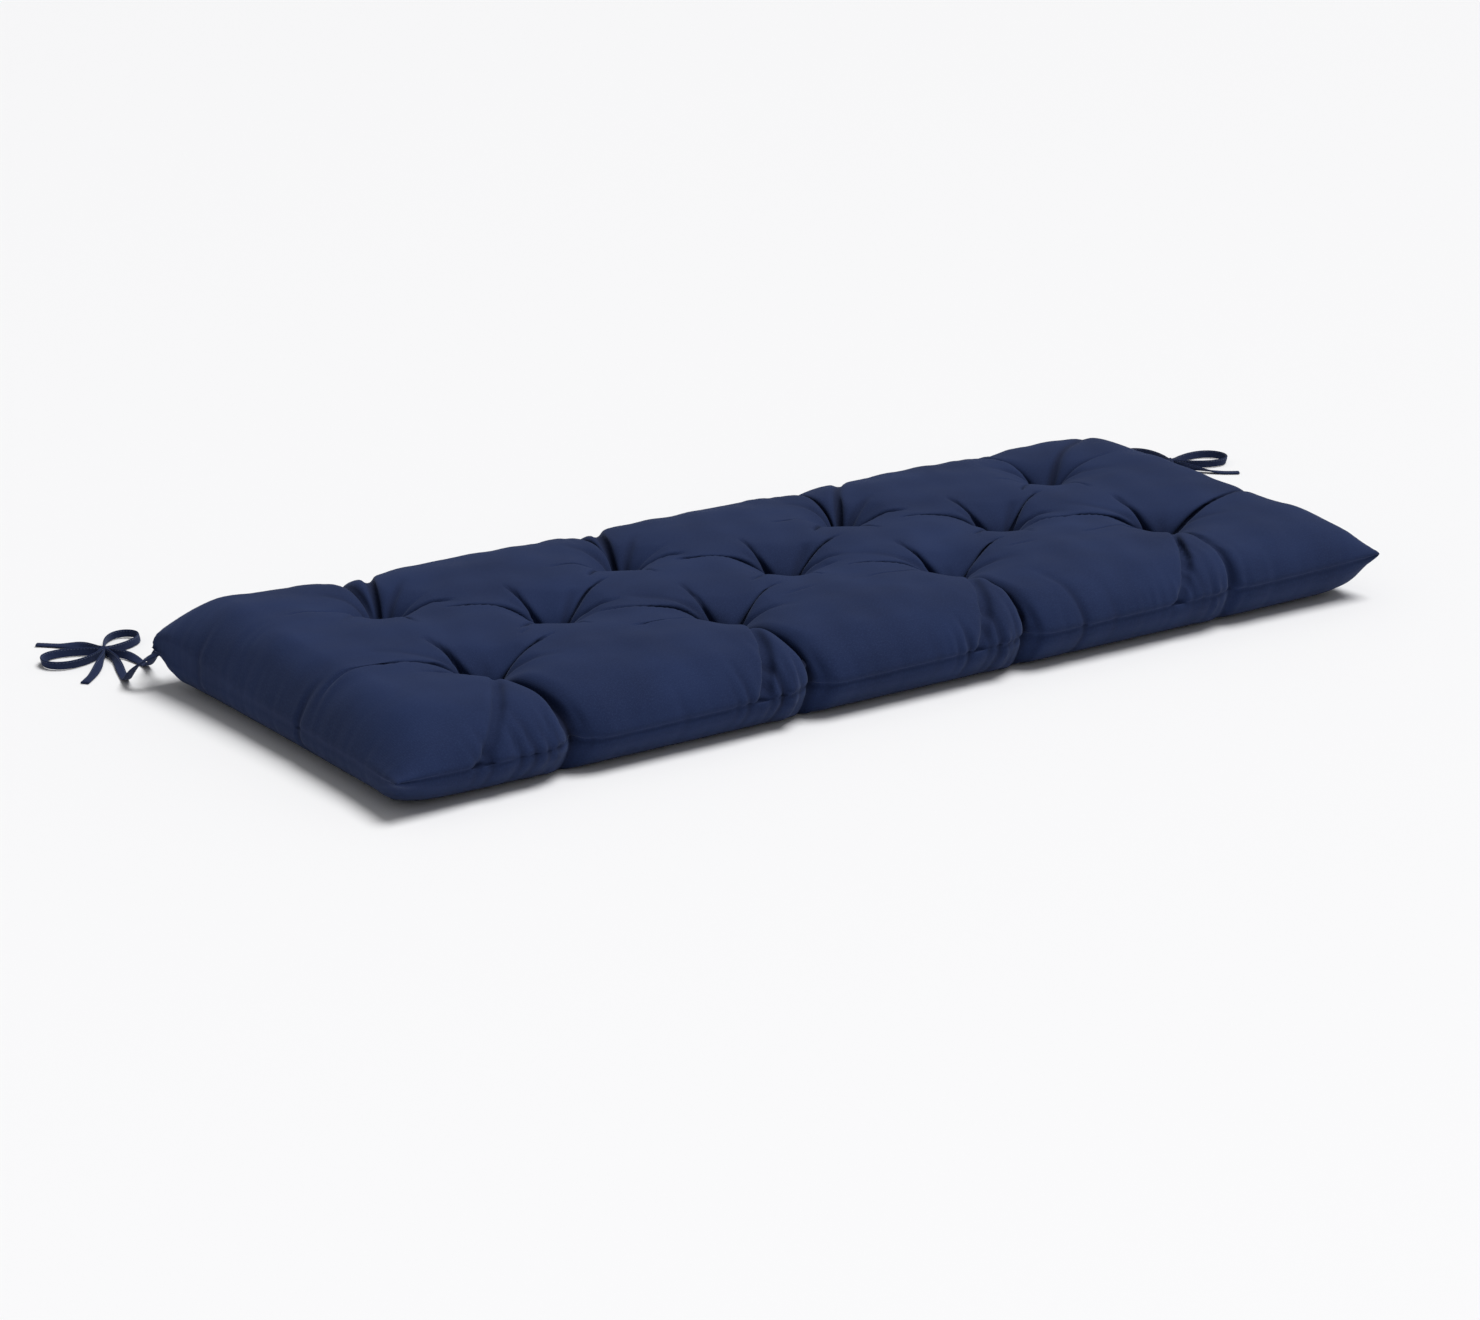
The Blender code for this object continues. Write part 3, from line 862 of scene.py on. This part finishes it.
def filled_out(p, q, pulled):
    """The top's height where the filling's crown is pulled down by this much."""
    end_roll = np.where(p < 0, LEFT_END_TOP_ROLL, RIGHT_END_TOP_ROLL)
    rise = roll_over(HALF_LENGTH - np.abs(p), end_roll)
    rise = rise * roll_over(HALF_DEPTH - np.abs(q), SIDE_TOP_ROLL)
    for x_side, y_side, fuller in FULL_CORNERS:
        away = np.hypot(p - x_side * HALF_LENGTH, q - y_side * HALF_DEPTH)
        rise = rise ** (1 - fuller * bump(away, FULL_CORNER_REACH))
    seam = seam_height(p, q)
    full = crown_height(q) - seam
    return seam + (full - np.minimum(pulled, full)) * rise


def lobe_height(p, q):
    """The most that the lobes may fill out to beside a tuft or a channel."""
    return filled_out(p, q, tuft_depth(p, q, LOBE_REACH)) + LOBE_SWELL


def top_height(p, q):
    pulled = np.maximum(tuft_depth(p, q) + fold_depth(p, q), edge_channel_depth(p, q))
    return filled_out(p, q, pulled + crease_depth(p, q))


def under_height(p, q):
    end_inset, side_inset = HALF_LENGTH - np.abs(p), HALF_DEPTH - np.abs(q)
    rise = roll_over(end_inset, END_UNDER_ROLL) * roll_over(side_inset, SIDE_UNDER_ROLL)
    corner_roll = np.where((p < 0) & (q > 0), BACK_LEFT_UNDER_ROLL, CORNER_UNDER_ROLL)
    rise *= roll_over(np.hypot(end_inset, side_inset), corner_roll)
    height = seam_height(p, q) * (1 - rise)
    for column, row in TUFTS:
        near = np.clip(1 - np.hypot(p - column, q - row) / UNDER_TUFT_RADIUS, 0, 1)
        height += UNDER_TUFT_DEPTH * near**2
    return height


# %% The grid of each panel
COLUMN_STEPS = 46
END_STEPS = 50
ROW_STEPS = 32
SIDE_STEPS = 42
SEAM_LINES = np.array([0.0, 0.0008, 0.0018, 0.0032, 0.0052])
SEAM_BAND = 0.0075


def even_steps(low, high, count):
    t = np.linspace(0, 1, count + 1)
    return (low + (high - low) * t)[:-1]


def grid_lines(stops, steps, edge_steps, half):
    """Places of the grid's lines from seam to seam, with a line on every stop."""
    inner = half - SEAM_BAND
    lines = [SEAM_LINES - half, even_steps(-inner, stops[0], edge_steps)]
    lines += [even_steps(a, b, steps) for a, b in zip(stops, stops[1:])]
    lines += [even_steps(stops[-1], inner, edge_steps), [inner], half - SEAM_LINES[::-1]]
    return np.concatenate(lines)


p_lines = grid_lines(sorted(EDGE_COLUMNS + MIDDLE_COLUMNS), COLUMN_STEPS, END_STEPS, HALF_LENGTH)
q_lines = grid_lines([-TUFT_ROW_GAP, 0.0, TUFT_ROW_GAP], ROW_STEPS, SIDE_STEPS, HALF_DEPTH)
P, Q = np.meshgrid(p_lines, q_lines, indexing="ij")
on_seam = np.zeros(P.shape, bool)
on_seam[[0, -1], :] = True
on_seam[:, [0, -1]] = True
print("each panel has", P.shape[0], "by", P.shape[1], "points")


def filled(height):
    """The panel's points on the filled shape, with its edge on the seam."""
    x, y = plan(P, Q)
    z = np.where(on_seam, seam_height(P, Q), height(P, Q))
    return np.stack([x, y, z], axis=-1)


# %% [markdown]
# ## Relaxing the cloth
#
# Filled cloth folds where it has more length than the shape needs, and pulls straight where it
# has less. Blender's Cloth is the usual way to find this. Tried on this panel it was slow, and the
# rest shape that it was given had no effect. Moving the points directly takes seconds: in turn,
# each pair of neighbours is set as far apart as the cloth between them was cut, the filling pushes
# every point outwards, and stiffness irons out the smallest kinks. The seam and the tufts are held,
# and no point may stray far from the filled shape.

# %% Cloth solver
CUT_LENGTH = 1.235
CUT_DEPTH = 0.512
SEAM_SHARE = 0.25
END_SHARE = 0.2
STRETCH_GIVE = 0.9
SHEAR_GIVE = 0.25
SURFACE_GAP = 0.0002


def pull(a, b, cut, give, free_a, free_b):
    """Sets each pair of points as far apart as the cloth between them is long."""
    step = b - a
    gap = np.sqrt((step**2).sum(axis=-1))
    share = give * (1 - cut / gap) / np.maximum(free_a + free_b, 1e-6)
    a += (share * free_a)[..., None] * step
    b -= (share * free_b)[..., None] * step


def normals_of(cloth):
    along, across = np.gradient(cloth, axis=0), np.gradient(cloth, axis=1)
    normal = np.cross(along, across)
    return normal / np.maximum(np.linalg.norm(normal, axis=-1), 1e-12)[..., None]


def laplacian(cloth):
    out = np.zeros_like(cloth)
    around = cloth[2:, 1:-1] + cloth[:-2, 1:-1] + cloth[1:-1, 2:] + cloth[1:-1, :-2]
    out[1:-1, 1:-1] = around - 4 * cloth[1:-1, 1:-1]
    return out


def spare_cloth(place, tufts, half, share):
    """1 between the tufts, falling to this share at the seam."""
    return 1 - (1 - share) * np.clip((np.abs(place) - tufts) / (half - tufts), 0, 1)


def cut_steps():
    """The cloth's own length between neighbours: along, across and on the slope."""
    spare = spare_cloth(Q[:-1], TUFT_ROW_GAP, HALF_DEPTH, SEAM_SHARE)
    dx = np.diff(P, axis=0) * (1 + (CUT_LENGTH / LENGTH - 1) * spare)
    spare = spare_cloth(P[:, :-1], EDGE_COLUMNS[-1], HALF_LENGTH, END_SHARE)
    dy = np.diff(Q, axis=1) * (1 + (CUT_DEPTH / DEPTH - 1) * spare)
    return dx, dy, np.hypot(dx[:, :-1], dy[:-1, :])


def pull_slopes(cloth, slope, free):
    """The weave resists shear much less than stretch, so its slopes give more."""
    for k in (0, 1):
        near, far = slice(k, -1, 2), slice(k + 1, None, 2)
        for left, right in ((slice(None, -1), slice(1, None)), (slice(1, None), slice(None, -1))):
            a, b = (near, left), (far, right)
            pull(cloth[a], cloth[b], slope[k::2], SHEAR_GIVE, free[a], free[b])


def relax(cloth, free, outward, rounds, push, stiffness, stray, lid):
    """Lets a panel settle. outward is 1 for the top and -1 for the underside."""
    start = cloth.copy()
    dx, dy, slope = cut_steps()
    for _ in range(rounds):
        cloth += outward * push * normals_of(cloth) * free[..., None]
        for _ in range(3):
            for k in (0, 1):
                a, b = slice(k, -1, 2), slice(k + 1, None, 2)
                pull(cloth[a], cloth[b], dx[k::2], STRETCH_GIVE, free[a], free[b])
            for k in (0, 1):
                a, b = (slice(None), slice(k, -1, 2)), (slice(None), slice(k + 1, None, 2))
                pull(cloth[a], cloth[b], dy[:, k::2], STRETCH_GIVE, free[a], free[b])
        pull_slopes(cloth, slope, free)
        for _ in range(2):
            cloth -= stiffness * laplacian(laplacian(cloth)) * free[..., None]
        moved = cloth - start
        far = np.linalg.norm(moved, axis=-1)
        cloth[...] = start + moved * np.minimum(1, stray / np.maximum(far, 1e-9))[..., None]
        np.clip(cloth[..., 2], SURFACE_GAP, lid, out=cloth[..., 2])
    return cloth


# %% Settling both panels
TUFT_HOLD = 0.0045
TAUT_HOLD = 0.92
TAUT_DEPTH = 0.008
free_top = np.where(on_seam, 0.0, 1.0)
free_under = np.where(on_seam, 0.0, 1.0)
for column, row in TUFTS:
    free_top[np.hypot(P - column, Q - row) < TUFT_HOLD] = 0.0
free_top *= 1 - TAUT_HOLD * np.clip(crease_depth(P, Q, 0.8) / TAUT_DEPTH, 0, 1)
top = filled(top_height)
under = filled(under_height)
free_under[under[..., 2] < 1e-5] = 0.0
top_start = top.copy()
TOP_SETTLING = {"rounds": 200, "push": 0.00012, "stiffness": 0.008, "stray": 0.012}
UNDER_SETTLING = {"rounds": 50, "push": 0.00008, "stiffness": 0.012, "stray": 0.006}
relax(top, free_top, 1, lid=lobe_height(P, Q), **TOP_SETTLING)
relax(under, free_under, -1, lid=np.inf, **UNDER_SETTLING)
moved = float(np.linalg.norm(top - top_start, axis=-1).max())
print("the top moved by up to", round(1000 * moved, 1), "mm")


# %% [markdown]
# ## Creases, pleats, puckers and the seam
#
# The relaxed cloth is still too smooth: the solver irons out what is only a few points wide. So the
# finer things are pressed in along the cloth's normals. They are a thin line in each crease, the
# pleats that a channel gathers at the seam, the small puckers that a machine seam draws up, a
# shallow swell where the cloth hangs loose, and the seam, which sinks between the two panels
# because its turnings pull inwards. Each channel also draws both panels in, level, at the seam.

# %% Pressing the fine shapes in
DRAWN_IN = 0.007
DRAWN_REACH = 0.050
# Lines at a channel: front -1 or back 1, shift along the seam, width, share of the full draw
DRAWN_LINES = [(-1, 0.002, 0.0042, 1.0), (1, 0.0, 0.0050, 0.9), (1, 0.052, 0.0070, 0.4)]
# Pleats at every channel: shift along the seam, length, depth, width
PLEATS = [
    (-0.094, 0.030, 0.0014, 0.0034),
    (-0.080, 0.040, 0.0028, 0.0038),
    (-0.053, 0.034, 0.0020, 0.0034),
    (-0.040, 0.056, 0.0038, 0.0040),
    (-0.027, 0.032, 0.0020, 0.0034),
    (-0.016, 0.040, 0.0026, 0.0036),
    (0.017, 0.026, 0.0010, 0.0034),
]
# Single pleats in the front seam: number of the channel, then the same four
LONE_PLEATS = [
    (2, 0.072, 0.080, 0.0028, 0.0044),
    (2, 0.112, 0.040, 0.0012, 0.0050),
    (0, 0.120, 0.030, 0.0008, 0.0050),
    (1, 0.150, 0.030, 0.0008, 0.0060),
]
# Single pleats in the ends: left -1 or right 1, place across the cushion, length, depth, width
END_PLEATS = [
    (-1, -0.038, 0.040, 0.0030, 0.0044),
    (-1, 0.146, 0.028, 0.0012, 0.0040),
    (1, 0.060, 0.036, 0.0018, 0.0044),
    (1, -0.120, 0.030, 0.0012, 0.0040),
]
PLEAT_LEAN = 0.22
# Waves per metre along and across, and phase
LOOSE_WAVES = [
    (11.3, 6.1, 0.4),
    (-7.9, 13.7, 2.2),
    (17.1, -9.3, 4.1),
    (5.3, 19.9, 1.3),
    (-23.0, 4.0, 3.3),
]
LOOSE_HEIGHT = 0.00030
LOOSE_FROM_SEAM = 0.04
SEAM_SINK = 0.0021
SEAM_SWELL = 0.0006
# Puckers: wave length, phase, weight
PUCKER_WAVES = [(0.0113, 0.9, 0.5), (0.0171, 2.1, 0.9), (0.0283, 4.0, 1.0), (0.0530, 0.4, 1.1)]
PUCKER_RISE_WITHIN = 0.004
PUCKER_HEIGHT = 0.0006
GATHERED_PUCKER_HEIGHT = 0.0034
GATHERED_SHIFT = 0.026
GATHERED_WIDTH = 0.040


def waves(along, shift):
    """An uneven ripple, from a few sines of different lengths."""
    total = sum(weight for _, _, weight in PUCKER_WAVES)
    ripple = 0
    for k, (long, phase, weight) in enumerate(PUCKER_WAVES):
        ripple = ripple + weight * np.sin(2 * math.pi * along / long + phase + shift * k)
    return ripple / total


def pucker_height(reach):
    """Small ridges square to the seam, strongest beside it and where the tufts gather it."""
    side_inset, end_inset = HALF_DEPTH - np.abs(Q), HALF_LENGTH - np.abs(P)
    gathered = sum(bump(P - column + GATHERED_SHIFT, GATHERED_WIDTH) for column in EDGE_COLUMNS)
    beside_side = np.exp(-side_inset / reach) * np.minimum(1, side_inset / PUCKER_RISE_WITHIN)
    beside_end = np.exp(-end_inset / reach) * np.minimum(1, end_inset / PUCKER_RISE_WITHIN)
    lean = 0.12 * side_inset * np.sign(Q)
    side_height = PUCKER_HEIGHT + GATHERED_PUCKER_HEIGHT * gathered
    side_ripple = waves(P + lean, np.sign(Q) * 1.3) * side_height
    end_ripple = waves(Q + 0.10 * end_inset, np.sign(P) * 0.7) * PUCKER_HEIGHT
    return side_ripple * beside_side + end_ripple * beside_end


def drawn_lines(narrow=1.0):
    """0 to 1 in the lines across the seam where each channel draws both panels in."""
    reach = np.clip(1 - (HALF_DEPTH - np.abs(Q)) / DRAWN_REACH, 0, 1) ** 1.3
    lines = np.zeros_like(P)
    at = straightened(P, Q)
    for column, strength in edge_columns(Q):
        for side, shift, width, share in DRAWN_LINES:
            at_side = Q * side > 0
            line = bump(at - column - shift, width * narrow)
            lines = np.maximum(lines, share * strength * at_side * line)
    return lines * reach


def pleat(inset, off, reach, length, deep, width, narrow):
    """A groove square to the seam that fades out a length away from it."""
    fade = np.clip(1 - inset / (length * reach), 0, 1) ** 0.8
    return deep * fade * bump(off + PLEAT_LEAN * inset, width * narrow)


def pleat_depth(reach, narrow=1.0):
    """Short pleats in the cloth that each channel gathers, and single ones elsewhere."""
    side_inset, end_inset = HALF_DEPTH - np.abs(Q), HALF_LENGTH - np.abs(P)
    depth = np.zeros_like(P)
    at = straightened(P, Q)
    for number, (column, strength) in enumerate(edge_columns(Q)):
        for shift, length, deep, width in PLEATS:
            uneven = 1 + 0.25 * math.sin(2.3 * number + 190 * shift)
            off = at - column - shift
            groove = pleat(side_inset, off, reach, length, deep * uneven, width, narrow)
            depth = np.maximum(depth, strength * groove)
    for number, shift, *shape in LONE_PLEATS:
        off = at - EDGE_COLUMNS[number] - shift
        depth = np.maximum(depth, (Q < 0) * pleat(side_inset, off, reach, *shape, narrow))
    for side, place, *shape in END_PLEATS:
        groove = pleat(end_inset, Q - place, reach, *shape, narrow)
        depth = np.maximum(depth, (P * side > 0) * groove)
    return depth


def loose_waves():
    """The shallow, uneven swell of cloth that isn't pulled tight anywhere."""
    swell = 0
    for along, across, phase in LOOSE_WAVES:
        swell = swell + np.sin(2 * math.pi * (P * along + Q * across) + phase)
    inset = np.minimum(HALF_DEPTH - np.abs(Q), HALF_LENGTH - np.abs(P))
    calm = np.minimum(1, inset / LOOSE_FROM_SEAM)
    return LOOSE_HEIGHT * swell * calm


def sunken_seam():
    inset = np.minimum(HALF_DEPTH - np.abs(Q), HALF_LENGTH - np.abs(P))
    return SEAM_SWELL * bump(inset - 0.0045, 0.0025) - SEAM_SINK * bump(inset, 0.0013)


def press(cloth, height, outward):
    normal = normals_of(cloth) * outward
    cloth += normal * height[..., None]


def seam_outward():
    """Level direction out of the cushion at each point of the seam."""
    x = np.where(np.abs(P) > HALF_LENGTH - 1e-9, np.sign(P), 0.0)
    y = np.where(np.abs(Q) > HALF_DEPTH - 1e-9, np.sign(Q), 0.0)
    both = np.maximum(np.hypot(x, y), 1.0)
    return np.stack([x / both, y / both, np.zeros_like(x)], axis=-1)


TOP_PUCKER_REACH = 0.026
UNDER_PUCKER_REACH = 0.018
CREASE_PRESS = 0.45
CREASE_PRESS_AT_EDGE = 0.2
SEAM_WANDER = 0.0007

inside = ~on_seam
steep = 1 - np.clip((HALF_DEPTH - np.abs(Q)) / 0.09, 0, 1)
press(top, -SIDE_CREASE_PRESS * deepest(side_creases(), P, Q, 0.8) * inside, 1)
raised = pucker_height(TOP_PUCKER_REACH) + sunken_seam() + loose_waves()
pressed = (CREASE_PRESS + CREASE_PRESS_AT_EDGE * steep) * crease_depth(P, Q)
press(top, (raised - pressed - pleat_depth(1.0)) * inside, 1)
raised = pucker_height(UNDER_PUCKER_REACH) + sunken_seam()
press(under, (raised - 0.7 * pleat_depth(0.5)) * inside, -1)
wander = waves(P * 0.6 + Q * 0.6, 0.3)
for cloth in (top, under):
    cloth[..., 1] -= np.sign(Q) * DRAWN_IN * drawn_lines()
    cloth[on_seam] -= (seam_outward() * SEAM_SINK)[on_seam]
    cloth[on_seam, 2] += SEAM_WANDER * wander[on_seam]
np.maximum(under[..., 2], SURFACE_GAP, out=under[..., 2])
print("the seam is sunk by", 1000 * SEAM_SINK, "mm")


# %% The cover's mesh
PATCH = 8
RESTING = 0.00021
FOLD_SHADE_WIDTH = 0.7
FOLD_SHADE_DEPTH = 0.0105
PLEAT_SHADE_DEPTH = 0.0060
PLEAT_SHADE_WIDTH = 0.6


def patch_faces(i, j, size, resting):
    """Corner lists for a square patch: one face if all of it lies flat, or else its quarters'."""
    nx, ny = resting.shape
    iend, jend = min(i + size, nx - 1), min(j + size, ny - 1)
    if i >= iend or j >= jend:
        return []
    if size == 1:
        return [[(i, j), (iend, j), (iend, jend), (i, jend)]]
    if resting[i : iend + 1, j : jend + 1].all():
        ring = [(k, j) for k in range(i, iend)] + [(iend, k) for k in range(j, jend)]
        ring += [(k, jend) for k in range(iend, i, -1)] + [(i, k) for k in range(jend, j, -1)]
        return [ring]
    half = size // 2
    faces = []
    for a in (i, i + half):
        for b in (j, j + half):
            faces += patch_faces(a, b, half, resting)
    return faces


def panel_faces(resting):
    nx, ny = resting.shape
    faces = []
    for i in range(0, nx - 1, PATCH):
        for j in range(0, ny - 1, PATCH):
            faces += patch_faces(i, j, PATCH, resting)
    return faces


def cover_mesh(name, top, under):
    nx, ny = P.shape
    index_top = np.arange(nx * ny).reshape(nx, ny)
    index_under = index_top.copy()
    index_under[~on_seam] = nx * ny + np.arange((~on_seam).sum())
    points = np.concatenate([top.reshape(-1, 3), under[~on_seam]])
    faces, flat = [], []
    panels = (
        (index_top, np.zeros_like(on_seam), 1),
        (index_under, under[..., 2] < RESTING, -1),
    )
    for index, resting, order in panels:
        for corners in panel_faces(resting):
            corners = corners[::order]
            faces.append([int(index[at]) for at in corners])
            flat += [(P[at], Q[at]) for at in corners]
    mesh = bpy.data.meshes.new(name)
    mesh.from_pydata(points.tolist(), [], faces)
    layer = mesh.uv_layers.new(name="cut")
    layer.data.foreach_set("uv", np.array(flat, np.float32).reshape(-1))
    # Painted shade: the attribute "fold" darkens the colour in the bottoms of the top's creases,
    # pleats and drawn-in lines, and of the underside's pleats and drawn-in lines
    shade = mesh.attributes.new("fold", "FLOAT", "POINT")
    pleats = pleat_depth(0.8, PLEAT_SHADE_WIDTH) / PLEAT_SHADE_DEPTH
    drawn = np.clip(0.8 * drawn_lines(PLEAT_SHADE_WIDTH) + pleats, 0, 1)
    lined = deepest(tuft_creases(), P, Q, FOLD_SHADE_WIDTH)
    lined = lined + SIDE_CREASE_SHADE * deepest(side_creases(), P, Q, FOLD_SHADE_WIDTH)
    deep = np.clip(lined / FOLD_SHADE_DEPTH + drawn, 0, 1)
    shade.data.foreach_set("value", np.concatenate([deep.reshape(-1), drawn[~on_seam]]))
    bm = bmesh.new()
    bm.from_mesh(mesh)
    unused = [vert for vert in bm.verts if not vert.link_faces]
    bmesh.ops.delete(bm, geom=unused, context="VERTS")
    bm.to_mesh(mesh)
    bm.free()
    mesh.shade_smooth()
    return mesh


mesh = cover_mesh("cushion_cover", top, under)
print("the cover has", sum(len(face.vertices) - 2 for face in mesh.polygons), "triangles")
mesh.materials.append(canvas)
cover = bpy.data.objects.new("cushion_cover", mesh)
scene.collection.objects.link(cover)
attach(cover, "root")
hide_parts("cushion")

# %% [markdown]
# ## The tuft stitches
#
# Two turns of strong thread go through the cushion at each tuft. Above and below they show as a
# short double bar at the bottom of the funnel.

# %% Two bars of thread at each tuft
TUFT_BAR = 0.0070
TUFT_THREAD_RADIUS = 0.00045
TUFT_BAR_GAP = 0.0012


def tuft_stitches(name):
    bm = bmesh.new()
    layer = bm.loops.layers.uv.new("cut")
    for column, row in TUFTS:
        nearest = np.unravel_index(np.argmin(np.hypot(P - column, Q - row)), P.shape)
        for cloth, outward in ((top, 1), (under, -1)):
            middle = Vector(cloth[nearest])
            for side in (-1, 1):
                path = []
                for t in np.linspace(-1, 1, 9):
                    rise = TUFT_THREAD_RADIUS * (0.9 + 0.8 * (1 - t * t))
                    place = t * TUFT_BAR / 2, side * TUFT_BAR_GAP / 2, outward * rise
                    path.append(middle + Vector(place))
                add_tube(bm, path, TUFT_THREAD_RADIUS, layer)
    piece = made_into_piece(bm, name, thread)
    piece.data.shade_smooth()
    return piece


stitches = tuft_stitches("tuft_stitches")
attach(stitches, "root")
print("tuft stitches:", 2 * len(TUFTS), "double bars")

# %% [markdown]
# ## Floor and light
#
# A pale floor and one very soft light show navy cloth best: its folds read by how that light falls
# off into them. It comes from above, a little from the right and the front. The world is the fill,
# as white studio walls are, and it is brighter in front of the cushion than behind it.

# %% Floor
floor_mesh = bpy.data.meshes.new("floor")
floor_mesh.from_pydata([(-12, -12, 0), (12, -12, 0), (12, 12, 0), (-12, 12, 0)], [], [(0, 1, 2, 3)])
floor = bpy.data.objects.new("floor", floor_mesh)
floor_paint, tree = new_material("pale_studio_floor")
shader = add(tree, "ShaderNodeBsdfPrincipled", Base_Color=linear("#f1f1f2"), Roughness=0.7)
add(tree, "ShaderNodeOutputMaterial", Surface=shader.outputs["BSDF"])
floor_mesh.materials.append(floor_paint)
scene.collection.objects.link(floor)


# %% Lights
SKY_ENERGY = 2.8
SKY_ANGLE = math.radians(34)
TOWARDS_SKY_LIGHT = Vector((0.55, -0.20, 1.45))
TOWARDS_BRIGHT_WALL = (0.25, -0.97, 0.0)
DIM_WALL = 0.21
BRIGHT_WALL = 0.35

sun = bpy.data.lights.new("soft_sky_light", "SUN")
sun.energy = SKY_ENERGY
sun.angle = SKY_ANGLE
holder = bpy.data.objects.new("soft_sky_light", sun)
holder.rotation_euler = (-TOWARDS_SKY_LIGHT).to_track_quat("-Z", "Y").to_euler()
scene.collection.objects.link(holder)

world = bpy.data.worlds.new("studio_walls")
world.use_nodes = True
tree = world.node_tree
tree.nodes.clear()
facing = add(tree, "ShaderNodeTexCoord").outputs["Generated"]
nearness = add(
    tree,
    "ShaderNodeVectorMath",
    {"operation": "DOT_PRODUCT"},
    i0=facing,
    i1=TOWARDS_BRIGHT_WALL,
).outputs["Value"]
strength = add(
    tree,
    "ShaderNodeMapRange",
    Value=nearness,
    From_Min=-1.0,
    From_Max=1.0,
    To_Min=DIM_WALL,
    To_Max=BRIGHT_WALL,
).outputs["Result"]
walls = add(tree, "ShaderNodeBackground", Color=(1.0, 1.0, 1.0, 1.0), Strength=strength)
add(tree, "ShaderNodeOutputWorld", Surface=walls.outputs["Background"])
scene.world = world
scene.view_settings.view_transform = "Standard"
